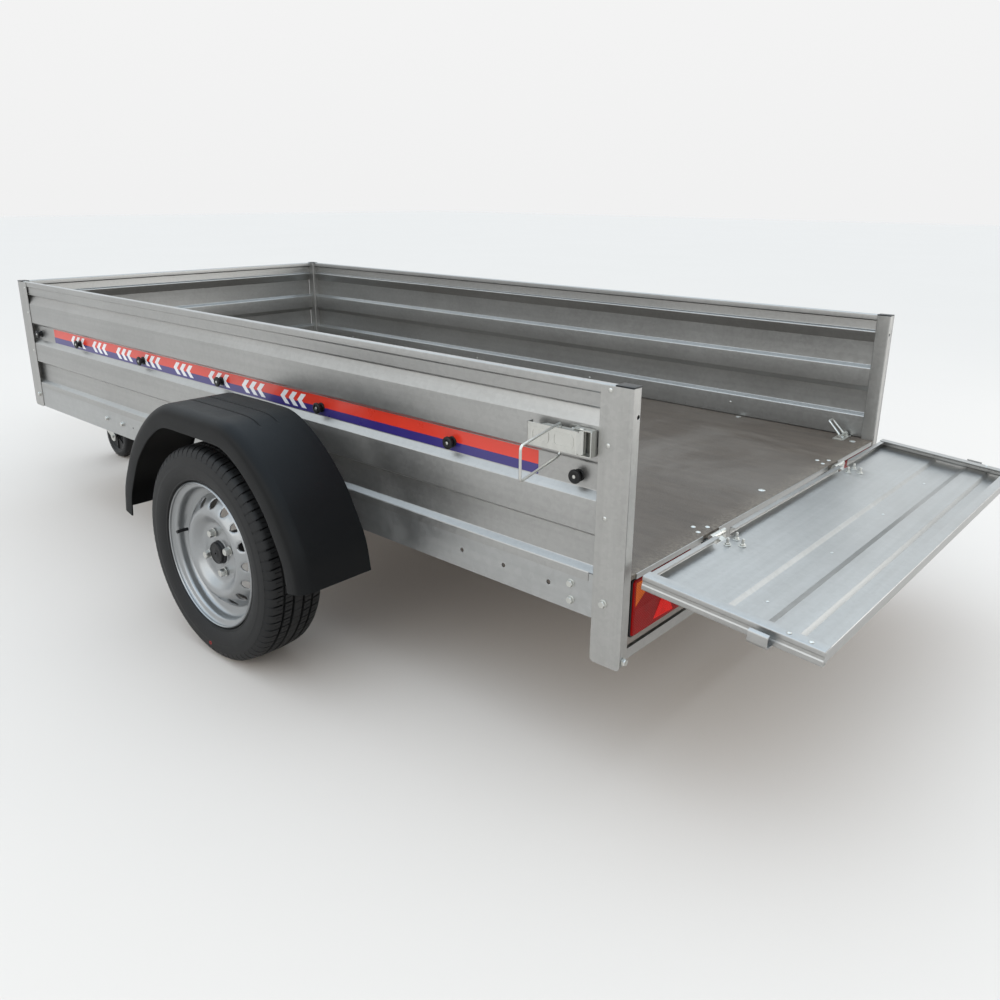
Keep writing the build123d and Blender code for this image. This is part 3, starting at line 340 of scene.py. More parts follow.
class Shape:
    """Collects vertices and faces of one piece, in metres in the row frame."""

    def __init__(self):
        self.v, self.f, self.m = [], [], []

    def add(self, verts, faces, mat=0):
        base = len(self.v)
        self.v.extend(Vector(p) for p in verts)
        self.f.extend(tuple(base + i for i in face) for face in faces)
        self.m.extend([mat] * len(faces))

    def loft(self, rings, close_ring=True, closed=False, caps=True, mat=0):
        """Skins rings of equal length; closed joins the last to the first."""
        n = len(rings[0])
        verts = [p for ring in rings for p in ring]
        faces = []
        for i in range(len(rings) if closed else len(rings) - 1):
            j = (i + 1) % len(rings)
            for a in range(n if close_ring else n - 1):
                b = (a + 1) % n
                faces.append((i * n + a, i * n + b, j * n + b, j * n + a))
        if caps and not closed:
            faces.append(tuple(range(n))[::-1])
            faces.append(tuple((len(rings) - 1) * n + a for a in range(n)))
        self.add(verts, faces, mat)

    def prism(self, points, place, stations, mat=0):
        """Pushes a closed outline through stations; place(u, v, w) gives the point."""
        self.loft([[place(u, v, w) for u, v in points] for w in stations], mat=mat)

    def lathe(self, profile, centre, axis, up, steps=48, mat=0):
        """Turns (distance along axis, radius) points about an axis."""
        axis, up = Vector(axis).normalized(), Vector(up).normalized()
        side = axis.cross(up)
        rings = []
        for k in range(steps):
            a = 2 * pi * k / steps
            out = up * cos(a) + side * sin(a)
            rings.append([Vector(centre) + axis * s + out * r for s, r in profile])
        self.loft(rings, close_ring=profile[0][1] > 1e-6 or profile[-1][1] > 1e-6, closed=True,
            caps=False, mat=mat)

    def tube(self, path, radius, steps=12, closed=False):
        """Round wire along points."""
        path = [Vector(p) for p in path]
        n = len(path)
        rings, normal = [], None
        for i, p in enumerate(path):
            before = path[i - 1] if i or closed else p
            after = path[(i + 1) % n] if i < n - 1 or closed else p
            ahead = (after - before).normalized()
            if normal is None:
                normal = ahead.orthogonal().normalized()
            normal = (normal - ahead * normal.dot(ahead)).normalized()
            other = ahead.cross(normal)
            rings.append([p + (normal * cos(2 * pi * k / steps)
                + other * sin(2 * pi * k / steps)) * radius for k in range(steps)])
        self.loft(rings, closed=closed)

    def box(self, low, high, soft=0.0, mat=0):
        """Box with its edges rounded off."""
        made = bmesh.new()
        bmesh.ops.create_cube(made, size=1.0)
        low, high = Vector(low), Vector(high)
        for v in made.verts:
            v.co = Vector(((low[i] + high[i]) / 2 + v.co[i] * abs(high[i] - low[i]) for i in range(3)))
        if soft > 0:
            bmesh.ops.bevel(made, geom=made.edges[:], offset=soft, segments=3, profile=0.5,
                affect="EDGES")
        self.take(made, mat)

    def take(self, made, mat=0):
        made.verts.index_update()
        self.add([v.co.copy() for v in made.verts], [[v.index for v in f.verts] for f in made.faces],
            mat)
        made.free()

    def mirrored(self):
        other = Shape()
        other.v = [Vector((p.x, -p.y, p.z)) for p in self.v]
        other.f = [tuple(reversed(f)) for f in self.f]
        other.m = list(self.m)
        return other

    def build(self, name, body, slot, mats, nodes=(), angle=32, bevel=0.0):
        mesh = bpy.data.meshes.new(name)
        mesh.from_pydata(self.v, [], self.f)
        mesh.polygons.foreach_set("material_index", self.m)
        made = bmesh.new()
        made.from_mesh(mesh)
        bmesh.ops.remove_doubles(made, verts=made.verts, dist=1e-6)
        bmesh.ops.dissolve_degenerate(made, dist=1e-7, edges=made.edges)
        bmesh.ops.recalc_face_normals(made, faces=made.faces)
        made.to_mesh(mesh)
        made.free()
        mesh.validate()
        mesh.polygons.foreach_set("use_smooth", [True] * len(mesh.polygons))
        mesh.set_sharp_from_angle(angle=radians(angle))
        piece = bpy.data.objects.new(name, mesh)
        link(piece)
        for m in mats if isinstance(mats, (list, tuple)) else [mats]:
            mesh.materials.append(m)
        if bevel:
            soften(piece, bevel, 40).harden_normals = True
        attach(piece, body)
        if nodes:
            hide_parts(*nodes)
        return piece


def rounded(points, radius, steps=4, closed=False):
    """Polyline with each corner replaced by an arc."""
    pts = [Vector((a, b)) for a, b in points]
    out = []
    for i, p in enumerate(pts):
        if not closed and i in (0, len(pts) - 1):
            out.append((p.x, p.y))
            continue
        a, b = pts[i - 1] - p, pts[(i + 1) % len(pts)] - p
        r = radius[i] if isinstance(radius, (list, tuple)) else radius
        turn = a.angle(b)
        if r <= 0 or turn > radians(178):
            out.append((p.x, p.y))
            continue
        reach = min(r / tan(turn / 2), 0.48 * a.length, 0.48 * b.length)
        r = reach * tan(turn / 2)
        a, b = a.normalized(), b.normalized()
        centre = p + (a + b).normalized() * (r / sin(turn / 2))
        start, stop = p + a * reach - centre, p + b * reach - centre
        sweep = start.angle_signed(stop)
        for k in range(steps + 1):
            t = -sweep * k / steps
            c, s = cos(t), sin(t)
            out.append((centre.x + start.x * c - start.y * s, centre.y + start.x * s + start.y * c))
    return out


def sheet(points, thick, radius=2.5 * MM, steps=4):
    """Closed outline of a bent sheet; its second face is on the left of the line."""
    line = rounded(points, radius, steps)
    other = []
    for i, (px, py) in enumerate(line):
        ns = []
        for a, b in ((i - 1, i), (i, i + 1)):
            if a < 0 or b >= len(line):
                continue
            dx, dy = line[b][0] - line[a][0], line[b][1] - line[a][1]
            size = hypot(dx, dy)
            if size > 1e-9:
                ns.append((-dy / size, dx / size))
        if len(ns) == 1:
            shift = ns[0]
        else:
            scale = 1 + ns[0][0] * ns[1][0] + ns[0][1] * ns[1][1]
            shift = ((ns[0][0] + ns[1][0]) / scale, (ns[0][1] + ns[1][1]) / scale)
        other.append((px + thick * shift[0], py + thick * shift[1]))
    return line + other[::-1]


def stations(low, high, step=0.12):
    n = max(1, round(abs(high - low) / step))
    return [low + (high - low) * k / n for k in range(n + 1)]


def along_x(u, v, w):
    return (w, u, v)


def along_y(u, v, w):
    return (u, w, v)


def along_z(u, v, w):
    return (u, v, w)


def panel(a, b, c, d, radius, steps):
    """Rectangle from (a, c) to (b, d) with round corners."""
    return rounded([(a, c), (b, c), (b, d), (a, d)], radius, steps, closed=True)


def in_metres(pairs):
    return [(a * MM, b * MM) for a, b in pairs]


def mirror_pair(name, shape, slot, mats, nodes=(), body="chassis", **kw):
    """Builds the left piece and its mirror image on the right."""
    for side, item in (("_left", shape), ("_right", shape.mirrored())):
        rides = body if body in ("chassis", "tailgate") else body + side
        item.build(name + side, rides, slot, mats, [n + side for n in nodes], **kw)


# ---- ribbed walls
WALL = [(16, 15), (16, 0), (0, 0), (0, 17), (3, 19), (3, 46), (14, 49), (0, 80), (0, 147), (14, 155),
    (14, 207), (0, 222), (0, 288), (14, 296)]
wall_line = [(d * MM, TOP - h * MM) for d, h in WALL] + [(RIB, DECK + 2 * MM),
    (0.0, DECK_LOW + 1.6 * MM)]
wall_front, wall_rear = FRONT + POST_WIDE, REAR - POST_WIDE

wall = Shape()
outline = sheet([(d - HALF, z) for d, z in wall_line], SHEET, 3 * MM)
wall.prism(outline, along_x, stations(wall_front, wall_rear))
skirt = sheet([(-HALF, DECK_LOW + 2.6 * MM), (-HALF - SHEET, DECK_LOW + 0.6 * MM),
    (-HALF - SHEET, DECK_LOW - 16 * MM)], SHEET, 2 * MM)
wall.prism(skirt, along_x, stations(FRONT + 0.08, REAR - 0.08))
mirror_pair("wall", wall, "galvanised", galvanised, ["side_panel"])

front = Shape()
outline = sheet([(FRONT + d, z) for d, z in wall_line], SHEET, 3 * MM)
front.prism(outline, along_y, stations(-POST_OUT + POST_DEEP, POST_OUT - POST_DEEP))
front.build("wall_front", "chassis", "galvanised", galvanised_cross, ["front_panel"])

# ---- stripe with arrows on both sides
film = Shape()
STRIPE_FACE = -HALF + RIB - 0.25 * MM
stripe_x0, stripe_x1 = AXLE_X - 1.426, AXLE_X + 0.803
zs = [STRIPE_LOW, STRIPE_HIGH]


def decal(shape, corners, thick, mat=0):
    """Thin film on the recessed band; corners are (x, z)."""
    shape.prism(corners, lambda u, v, w: (u, STRIPE_FACE - w, v), [-0.3 * MM, thick], mat)


decal(film, [(stripe_x0, zs[0]), (stripe_x1, zs[0]), (stripe_x1, zs[1]), (stripe_x0, zs[1])], 0.0)
ARROW_GROUPS = (-1234, -1072, -900, -719, -535, -343, -174, 4)
for middle in ARROW_GROUPS:
    for step in (-36, 0, 36):
        x = AXLE_X + (middle + step) * MM
        low, high = zs[0] + 6 * MM, zs[1] - 6 * MM
        mid = (low + high) / 2
        tip, wide = 19 * MM, 19 * MM
        decal(film, [(x - tip, mid), (x, low), (x + wide, low), (x + wide - tip, mid), (x + wide, high),
            (x, high)], 0.12 * MM, 1)
mirror_pair("stripe", film, "galvanised", [stripe_mat, chevron_mat])

# ---- corner posts and caps
post_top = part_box("post_rear_left")[1].z
cap_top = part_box("post_caps")[1].z


def drilled(shape, spot, radius, reach):
    """The closed shape with a round hole cut through it along X."""
    scene_objects, temporary = bpy.context.scene.collection.objects, []
    cutter = bmesh.new()
    turn = Matrix.Translation(spot) @ Matrix.Rotation(pi / 2, 4, "Y")
    bmesh.ops.create_cone(cutter, cap_ends=True, segments=28, radius1=radius, radius2=radius,
        depth=reach, matrix=turn)
    solid = bmesh.new()
    mesh = bpy.data.meshes.new("blank")
    mesh.from_pydata(shape.v, [], shape.f)
    solid.from_mesh(mesh)
    for made in (solid, cutter):
        bmesh.ops.recalc_face_normals(made, faces=made.faces)
        mesh = bpy.data.meshes.new("blank")
        made.to_mesh(mesh)
        made.free()
        temporary.append(bpy.data.objects.new("blank", mesh))
        scene_objects.link(temporary[-1])
    cut = temporary[0].modifiers.new("hole", "BOOLEAN")
    cut.operation, cut.solver, cut.object = "DIFFERENCE", "EXACT", temporary[1]
    result = bmesh.new()
    result.from_object(temporary[0], bpy.context.evaluated_depsgraph_get())
    for item in temporary:
        bpy.data.objects.remove(item)
    out = Shape()
    out.take(result)
    return out


def post(x0, way, foot, radius, hole=None):
    """Rolled box-section post with an outer flange; way points from its free face inwards."""
    item = Shape()
    plan = [(x0 + way * (POST_WIDE - 0.3 * MM), -HALF), (x0 + way * POST_WIDE, -POST_OUT + POST_DEEP),
        (x0, -POST_OUT + POST_DEEP), (x0, -POST_OUT + POST_WALL)]
    base = foot + radius
    ring = sheet(plan[::-1] if way < 0 else plan, POST_WALL, 3.5 * MM, 4)
    item.prism(ring, along_z, stations(base, post_top, 0.2))
    if hole is not None:
        item = drilled(item, hole, 4 * MM, 8 * MM)
    face = [(x0, post_top), (x0 + way * POST_FLANGE, post_top), (x0 + way * POST_FLANGE, foot),
        (x0, foot)]
    edge = rounded(face, [0, 0, radius, radius], 5, closed=True)
    item.prism(edge, along_y, [-POST_OUT, -HALF])
    return item


post_hole = Vector((REAR, -POST_OUT + 19 * MM, TOP - 54 * MM))
rear_post = post(REAR, -1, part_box("post_rear_left")[0].z, 9 * MM, post_hole)
front_post = post(FRONT, 1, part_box("post_front_left")[0].z, 12 * MM)
mirror_pair("post_back", rear_post, "galvanised", galvanised_upright, ["post_rear"], bevel=0.7 * MM)
mirror_pair("post_nose", front_post, "galvanised", galvanised_upright, ["post_front"], bevel=0.7 * MM)
caps = Shape()
for low in (FRONT, REAR - POST_WIDE):
    for side in (-1, 1):
        a, b = sorted((side * POST_OUT, side * (POST_OUT - POST_DEEP)))
        caps.box((low - 0.4 * MM, a - 0.4 * MM, post_top - 0.2 * MM),
            (low + POST_WIDE + 0.4 * MM, b + 0.4 * MM, cap_top), 1.2 * MM)
        caps.box((low + 2.4 * MM, a + 2.4 * MM, post_top - 8 * MM),
            (low + POST_WIDE - 2.4 * MM, b - 2.4 * MM, post_top))
caps.build("caps", "chassis", "black_plastic", black_plastic, ["post_caps"])

# ---- tyres
tyre = Shape()


def on_wheel(a, radius, outward):
    """Point of the left wheel at an angle from its top."""
    return (AXLE_X + radius * sin(a), -WHEEL_Y - outward, WHEEL_R + radius * cos(a))


def tyre_profile():
    """Outer skin points (out, radius, kind) from the outer bead to the inner bead."""
    tread = 57.5
    side = [(52, 170.7, 0), (54.4, 179, 0), (60.5, 184.2, 0), (64, 186.8, 0), (69.5, 189.5, 0),
        (70.3, 191.5, 0), (69.9, 193.2, 0), (73.2, 199, 0), (76.2, 207.5, 0), (77.6, 214, 0),
        (78.3, 219.5, 0), (78.4, 226, 0), (78.45, 226.6, 0), (78.1, 227.6, 0), (77.9, 236, 0),
        (77.4, 243.5, 0), (76.4, 249, 0), (75.6, 249.6, 1), (73.2, 257.4, 1), (69.6, 263.0, 1),
        (65.0, 267.2, 1), (60.5, 269.4, 2), (57.5, 270.2, 2)]
    crown = []
    for low, high in ((42.4, 54.4), (17.4, 35.6), (-10.6, 10.6), (-35.6, -17.4), (-54.4, -42.4)):
        for t in (1.0, 0.66, 0.33, 0.0):
            y = low + (high - low) * t
            crown.append((y, 273.5 - 3.3 * (abs(y) / tread) ** 2.2,
                3 if abs(low + high) > 90 else (4 if abs(low + high) > 40 else 5)))
        if low > -50:
            crown += [(low - 0.5, 266.2, 0), (low - 6.3, 266.2, 0)]
    mirrored = [(-y, r, k) for y, r, k in side[::-1]]
    return side + crown + mirrored


profile = tyre_profile()
PITCHES = 72
SLOTS = ((0.0, 0), (0.33, 0), (0.345, 1), (0.375, 1), (0.39, 0), (0.81, 0), (0.83, 2), (0.975, 2))
inner = [(-52, 176), (-60, 200), (-70, 226), (-62, 252), (0, 256), (62, 252), (70, 226), (60, 200),
    (52, 176)]
rings = []
for p in range(PITCHES):
    for share, kind in SLOTS:
        ring = []
        for y, r, k in profile:
            cut = 0.0
            if kind == 2 and k in (1, 2, 3):
                cut = {1: 2.2, 2: 4.6, 3: 5.8}[k]
            elif kind == 2 and k == 4:
                cut = 3.6
            elif kind == 1 and k in (3, 4, 5):
                cut = 2.6
            skew = 0.28 * abs(y) / 57.5 if k else 0.0
            a = 2 * pi * (p + share + (skew if y > 0 else -skew)) / PITCHES
            ring.append(on_wheel(a, (r - cut) * MM, y * MM))
        a = 2 * pi * (p + share) / PITCHES
        for y, r in inner:
            ring.append(on_wheel(a, r * MM, y * MM))
        rings.append(ring)
tyre.loft(rings, closed=True, caps=False)
tyre.lathe(in_metres(((0, 4.6), (0.5, 4.6), (0.5, 3.4), (0, 3.4))),
    (AXLE_X - 0.012, -WHEEL_Y - 0.0779, WHEEL_R - 0.236), LEFTWARD, UPWARD, 24, 1)
mirror_pair("tread", tyre, "tyre_rubber", [tyre_mat, red_ring], ["tyre"], "wheel", angle=38)

# ---- steel rims
FACE = 34.0
VENTS = 16
VENT_MID, VENT_R = 127.0, 11.0
PER = 6
rim = Shape()
barrel = [(69, 181.2), (66.5, 184.6), (62.4, 184.9), (59.6, 182.8), (57.2, 179.2), (55.6, 174.0),
    (53.4, 170.6), (46, 169.6), (40, 171.2), (37, 171.0), (31, 168.6), (27, 160), (23.5, 148),
    (20, 143.6), (14, 142.2), (-10, 142.2), (-14, 144), (-20, 163), (-24, 168.2), (-50, 169.6),
    (-54, 171), (-56.6, 177.6), (-60, 182.6), (-64.6, 183.8), (-69, 181.2)]
inner_skin = [(y, r - 3.0) for y, r in barrel[1:-1]]
outer_wall = in_metres(barrel + [(-66.4, 179.6)] + inner_skin[::-1] + [(66.6, 179.4)])
rim.lathe(outer_wall, HUB, LEFTWARD, UPWARD, VENTS * PER * 2)


def dish(r):
    """Distance outward of the front face of the disc at a radius, in mm."""
    knots = [(142, FACE - 8), (139.5, FACE - 4.4), (133, FACE + 2.8), (127, FACE + 9),
        (120, FACE + 14.6), (112, FACE + 20), (107, FACE + 22.1), (104, FACE + 22.5), (98, FACE + 20.6),
        (93, FACE + 17.6), (84, FACE + 9.2), (77, FACE + 2.6), (72, FACE + 0.4), (66, FACE), (29, FACE)]
    for (r1, y1), (r0, y0) in zip(knots, knots[1:]):
        if r0 <= r <= r1:
            return y0 + (y1 - y0) * (r - r0) / (r1 - r0)
    return knots[0][1] if r > 142 else FACE


def disc_point(a, r, depth):
    return on_wheel(a, r * MM, (dish(r) - depth) * MM)


DISC_RADII = (112.5, 110, 107.5, 105, 102.5, 99, 96, 93, 90, 86.5, 83, 80, 77, 74.5, 72, 66, 60, 29)


def disc_skin(depth, flip):
    """One skin of the disc with a ring of round vents."""
    verts, faces = [], []

    def quad(points):
        base = len(verts)
        verts.extend(points)
        order = tuple(range(base, base + len(points)))
        faces.append(order[::-1] if flip else order)

    sector = 2 * pi / VENTS
    shares = [i / PER for i in range(PER)]
    mid, hole, r_out, r_in = VENT_MID, VENT_R, 141.5, 112.5
    for k in range(VENTS):
        a0 = sector * k
        square = [(t - 0.5, 1.0) for t in shares] + [(0.5, 1.0 - 2 * t) for t in shares]
        square += [(0.5 - t, -1.0) for t in shares] + [(-0.5, 2 * t - 1.0) for t in shares]
        loops = []
        for t, grow in ((0.0, 1.0), (0.0, 1.14), (0.4, 1.2), (1.0, 1.0)):
            loop = []
            for across, up in square:
                r_edge = mid + (r_out - mid) * up if up > 0 else mid + (mid - r_in) * up
                x_edge, y_edge = across * sector, r_edge - mid
                flat = Vector((x_edge * mid, y_edge))
                turn = flat.normalized() * hole * grow
                loop.append((a0 + (turn.x * (1 - t) + flat.x * t) / mid if t < 1 else a0 + x_edge,
                    mid + turn.y * (1 - t) + flat.y * t))
            loops.append(loop)
        sink = (1.6, 0.0, 0.0, 0.0)
        for i in range(3):
            for j in range(len(square)):
                n = (j + 1) % len(square)
                pts = []
                for li, lj in ((i, j), (i, n), (i + 1, n), (i + 1, j)):
                    a, r = loops[li][lj]
                    pts.append(disc_point(a, r, depth + (0.0 if flip else sink[li])))
                quad(pts)
        for r1, r0 in [(142.6, 141.5)] + list(zip(DISC_RADII, DISC_RADII[1:])):
            for i in range(PER):
                b0, b1 = a0 + sector * (-0.5 + i / PER), a0 + sector * (-0.5 + (i + 1) / PER)
                quad([disc_point(b, r, depth) for b, r in ((b0, r1), (b1, r1), (b1, r0), (b0, r0))])
    return verts, faces


rim.add(*disc_skin(0.0, False))
rim.add(*disc_skin(4.0, True))
for k in range(VENTS):
    a0 = 2 * pi / VENTS * k
    ring0, ring1 = [], []
    for i in range(24):
        t = 2 * pi * i / 24
        a, r = a0 + VENT_R * sin(t) / VENT_MID, VENT_MID + VENT_R * cos(t)
        ring0.append(disc_point(a, r, 1.6))
        ring1.append(disc_point(a, r, 4.0))
    rim.loft([ring0, ring1], caps=False)
rim.lathe(in_metres(((FACE, 29), (FACE + 0.8, 30.2), (FACE + 0.8, 33), (FACE, 34), (FACE - 4, 34),
    (FACE - 4, 29))), HUB, LEFTWARD, UPWARD, 64)
weld = [(24.4, 142.3), (22.6, 145.6), (19.0, 143.4)]
flange = [(FACE - 8.2, 142.5), (12, 142.5), (12, 138.5), (FACE - 13, 138.5)]
rim.lathe(in_metres(flange), HUB, LEFTWARD, UPWARD, 96)
rim.lathe(in_metres(weld), HUB, LEFTWARD, UPWARD, 96)
mirror_pair("steel_rim", rim, "rim_silver", silver, ["rim"], "wheel", angle=50)

# ---- hub, cap, bolts, valve
cap = Shape()
cap.lathe(in_metres(((30, 27.6), (44, 27.6), (46.5, 26.4), (47.6, 24), (46.4, 22.4), (46.4, 9.5),
    (46.9, 8.6), (47.3, 5), (47.4, 0))), HUB, LEFTWARD, UPWARD, 64)
cap.tube([(AXLE_X - 0.146, -WHEEL_Y - 0.036, WHEEL_R + 0.022),
    (AXLE_X - 0.147, -WHEEL_Y - 0.052, WHEEL_R + 0.0225),
    (AXLE_X - 0.1455, -WHEEL_Y - 0.066, WHEEL_R + 0.022)], 4.2 * MM, 16)
mirror_pair("hub_cap", cap, "black_plastic", black_plastic, (), "wheel")


def hex_head(shape, centre, out, flats, high, washer=0.0, turn=0.0):
    """Chamfered hexagon head on a washer; out points away from the face."""
    out = Vector(out).normalized()
    up = Vector((0, 0, 1)) if abs(out.z) < 0.9 else Vector((1, 0, 0))
    side = out.cross(up)
    start = 0.0
    centre = Vector(centre)
    if washer:
        shape.lathe([(0, 0), (0, washer), (1.2 * MM, washer), (1.6 * MM, washer - 0.5 * MM),
            (1.6 * MM, 0)], centre, out, up, 32)
        start = 1.6 * MM
    rings = []
    for height, grow, rnd in ((start, 1.0, 0.0), (start + high * 0.78, 1.0, 0.0),
            (start + high, 0.93, 0.75), (start + high, 0.55, 1.0)):
        ring = []
        for k in range(24):
            a = pi * 2 * k / 24 + turn
            local = ((a - turn) % (pi / 3)) - pi / 6
            hexed = flats / 2 / cos(local)
            r = (hexed * (1 - rnd) + flats / 2 * rnd) * grow
            ring.append(centre + out * height + (up * cos(a) + side * sin(a)) * r)
        rings.append(ring)
    shape.loft(rings)


bolts = Shape()
for k in range(4):
    a = radians(20 + 90 * k)
    spot = (AXLE_X + 0.05 * cos(a), -WHEEL_Y - FACE * MM, WHEEL_R + 0.05 * sin(a))
    bolts.lathe(in_metres([(0, 0), (0, 8.6), (3, 11.4), (3.6, 11.4), (3.9, 10), (3.9, 0)]), spot,
        LEFTWARD, UPWARD, 32)
    hex_head(bolts, Vector(spot) + Vector((0, -3.6 * MM, 0)), (0, -1, 0), 17 * MM, 13 * MM, 0, 0.3 + k)
mirror_pair("lug_bolts", bolts, *PLATED, ["wheel_bolts"], "wheel")

# ---- mudguards
G_IN = -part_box("mudguard_left")[1].y
ARCH = [(1.4735, 1.1042), (1.4186, 1.3711), (1.2797, 1.6453), (1.1773, 1.8062), (1.0530, 1.9488),
    (0.9104, 2.0804), (0.7495, 2.1938), (0.6033, 2.2669), (0.4570, 2.3071), (0.2194, 2.3144)]
arch_half = [(WHEEL_R * a, WHEEL_R * b) for a, b in ARCH]
arch = arch_half + [(-x, z) for x, z in arch_half[::-1]]


def smooth_path(points, per=5):
    """Catmull-Rom line through the points."""
    pts = [Vector(p) for p in points]
    pts = [pts[0] * 2 - pts[1]] + pts + [pts[-1] * 2 - pts[-2]]
    out = []
    for i in range(1, len(pts) - 2):
        p0, p1, p2, p3 = pts[i - 1:i + 3]
        for k in range(per):
            t = k / per
            out.append(0.5 * ((2 * p1) + (p2 - p0) * t + (2 * p0 - 5 * p1 + 4 * p2 - p3) * t * t
                + (3 * p1 - p0 - 3 * p2 + p3) * t ** 3))
    return out + [pts[-2]]


line = smooth_path(arch)
GROOVE = -2.2
section = [(0, -9), (0, -1.2), (1.2, 0), (20, 0), (61, 0), (62.6, GROOVE), (66.4, GROOVE), (68, 0),
    (108, 0), (109.6, GROOVE), (113.4, GROOVE), (115, 0), (158, 0), (166, -0.6), (172, -2.6),
    (178.5, -6), (183.5, -10.4), (187, -15.6), (188.8, -21), (189.4, -28), (190, -52), (189.4, -55.5)]
section_in = [(186.6, -55), (186.6, -30), (185.6, -23), (183.4, -17.6), (179.4, -12.2), (174, -7.6),
    (166, -4.4), (158, -3.2), (2.6, -3.2), (2.4, -9)]
guard = Shape()
rings = []
for i, p in enumerate(line):
    ahead = (line[min(i + 1, len(line) - 1)] - line[max(i - 1, 0)]).normalized()
    normal = Vector((-ahead.y, ahead.x))
    if normal.dot(p - Vector((0, WHEEL_R))) < 0:
        normal = -normal
    depths = [(y, 0 if h == GROOVE and abs(p.x) > 0.168 else h) for y, h in section + section_in]
    rings.append([(AXLE_X + p.x + normal.x * h * MM, -(G_IN + y * MM), p.y + normal.y * h * MM)
        for y, h in depths])
guard.loft(rings)
mirror_pair("guard", guard, "black_plastic", guard_plastic, ["mudguard"], angle=28)

# ---- rear lamps
lamp_low, lamp_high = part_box("light_housing_left")
lamp = Shape()
x0, x1 = lamp_low.x, lamp_high.x
y0, y1, z0, z1 = lamp_low.y, lamp_high.y, lamp_low.z, lamp_high.z
rings = []
for x, inset, r in ((x0, 3.5, 6), (x0, 1.5, 8), (x0 + 2 * MM, 0, 9), (x1 - 1.5 * MM, 0, 9),
        (x1, 1.2, 8), (x1, 3.0, 6.4), (x1 - 8 * MM, 3.2, 6), (x1 - 8 * MM, 20, 3)):
    i = inset * MM
    rings.append([(x, y, z) for y, z in panel(y0 + i, y1 - i, z0 + i, z1 - i, r * MM, 6)])
lamp.loft(rings)
mirror_pair("lamp_base", lamp, "black_plastic", black_plastic, ["light_housing"])
glass = Shape()
gx = x1 + 3.4 * MM
i = 3.6 * MM
rings = []
for x, e in ((x1 - 7 * MM, 0), (x1 + 1.5 * MM, 0), (x1 + 3 * MM, 0.9 * MM), (gx, 2.6 * MM)):
    ring = panel(y0 + i + e, y1 - i - e, z0 + i + e, z1 - i - e, 5.5 * MM, 6)
    rings.append([(x, y, z) for y, z in ring])
glass.loft(rings)


def lens_patch(points, high, mat):
    glass.prism(points, along_x, [gx - 0.6 * MM, gx + high], mat)


ym = (y0 + y1) / 2
lens_patch([(y0 + 10 * MM, z1 - 9 * MM), (y0 + 10 * MM, z0 + 66 * MM), (ym - 22 * MM, z1 - 9 * MM)],
    0.3 * MM, 2)
lens_patch([(y0 + 78 * MM, z0 + 14 * MM), (y0 + 152 * MM, z0 + 10 * MM), (y0 + 118 * MM, z0 + 70 * MM)],
    0.5 * MM, 1)
for a, b, c, d in ((y0 + 8 * MM, ym - 24 * MM, z0 + 8 * MM, z0 + 60 * MM),
        (ym + 48 * MM, y1 - 10 * MM, z0 + 10 * MM, z1 - 10 * MM),
        (ym - 18 * MM, ym + 42 * MM, z0 + 80 * MM, z1 - 10 * MM)):
    lens_patch(panel(a, b, c, d, 4 * MM, 4), 0.3 * MM, 0)
mirror_pair("lamp_glass", glass, "red_lens", [red_dark, red_bright, amber], ["light_lens"])

# ---- latches
latch_z = joints["latch_lever_left"]["pos_m"][2]
pin = Vector(joints["latch_lever_left"]["pos_m"])
bail_pin = Vector(joints["latch_loop_left"]["pos_m"])


def level(up):
    return latch_z + up * MM


def outside(out):
    return -HALF - out * MM


base = Shape()
bx0, bx1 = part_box("latch_bases")[0].x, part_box("latch_bases")[1].x
base.prism(panel(bx0 - 6 * MM, bx1, level(-25), level(25), 3 * MM, 4), along_y,
    [outside(2), -HALF])
for low in (level(-25), level(23)):
    ear = rounded([(bx0 + 12 * MM, -HALF), (bx0 + 16 * MM, outside(19)),
        (bx1 - 2 * MM, outside(21)), (bx1, -HALF)], 5 * MM, 5, closed=True)
    base.prism(ear, along_z, [low, low + 2 * MM])
base.prism(rounded([(-HALF, level(-25)), (outside(20), level(-23)),
    (outside(20), level(23)), (-HALF, level(25))], 2 * MM, 3, closed=True), along_x,
    [bx1 - 2 * MM, bx1])
base.lathe(in_metres([(-26.5, 0), (-26.5, 5.4), (-25, 6), (-25, 4), (25, 4), (25, 6), (26.5, 5.4),
    (26.5, 0)]), pin, UPWARD, REARWARD, 32)
for z in (-16, 16):
    base.lathe(in_metres([(0, 0), (0, 4), (1.4, 3.4), (2.2, 1.8), (2.4, 0)]),
        (bx0 + 2 * MM, outside(2), level(z)), LEFTWARD, UPWARD, 24)
both = Shape()
for s in (base, base.mirrored()):
    both.add(s.v, s.f)
both.build("latch_base", "chassis", *PLATED, ["latch_bases"])

lever = Shape()
tip_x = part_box("latch_handle_left")[0].x
out = -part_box("latch_handle_left")[0].y - HALF
plate = sheet([(tip_x + 1 * MM, outside(12)), (tip_x + 1 * MM, -HALF - out),
    (pin.x - 3 * MM, -HALF - out), (pin.x + 6.6 * MM, outside(15))], 2 * MM, 3 * MM)
lever.prism(plate, along_z, [level(-22), level(-21), level(21),
    level(22)])
for z in (level(-22), level(20)):
    lever.prism([(tip_x + 34 * MM, -HALF - out + 1 * MM), (pin.x, -HALF - out + 1 * MM),
        (pin.x, outside(14)), (tip_x + 40 * MM, outside(15))], along_z, [z, z + 2 * MM])
lever.lathe(in_metres([(-22.4, 4.12), (-22.4, 7), (22.4, 7), (22.4, 4.12)]), pin, UPWARD, REARWARD, 32)
lever.lathe(in_metres([(-21.9, 2.6), (-21.9, 4.5), (21.9, 4.5), (21.9, 2.6)]), bail_pin, UPWARD,
    REARWARD, 24)
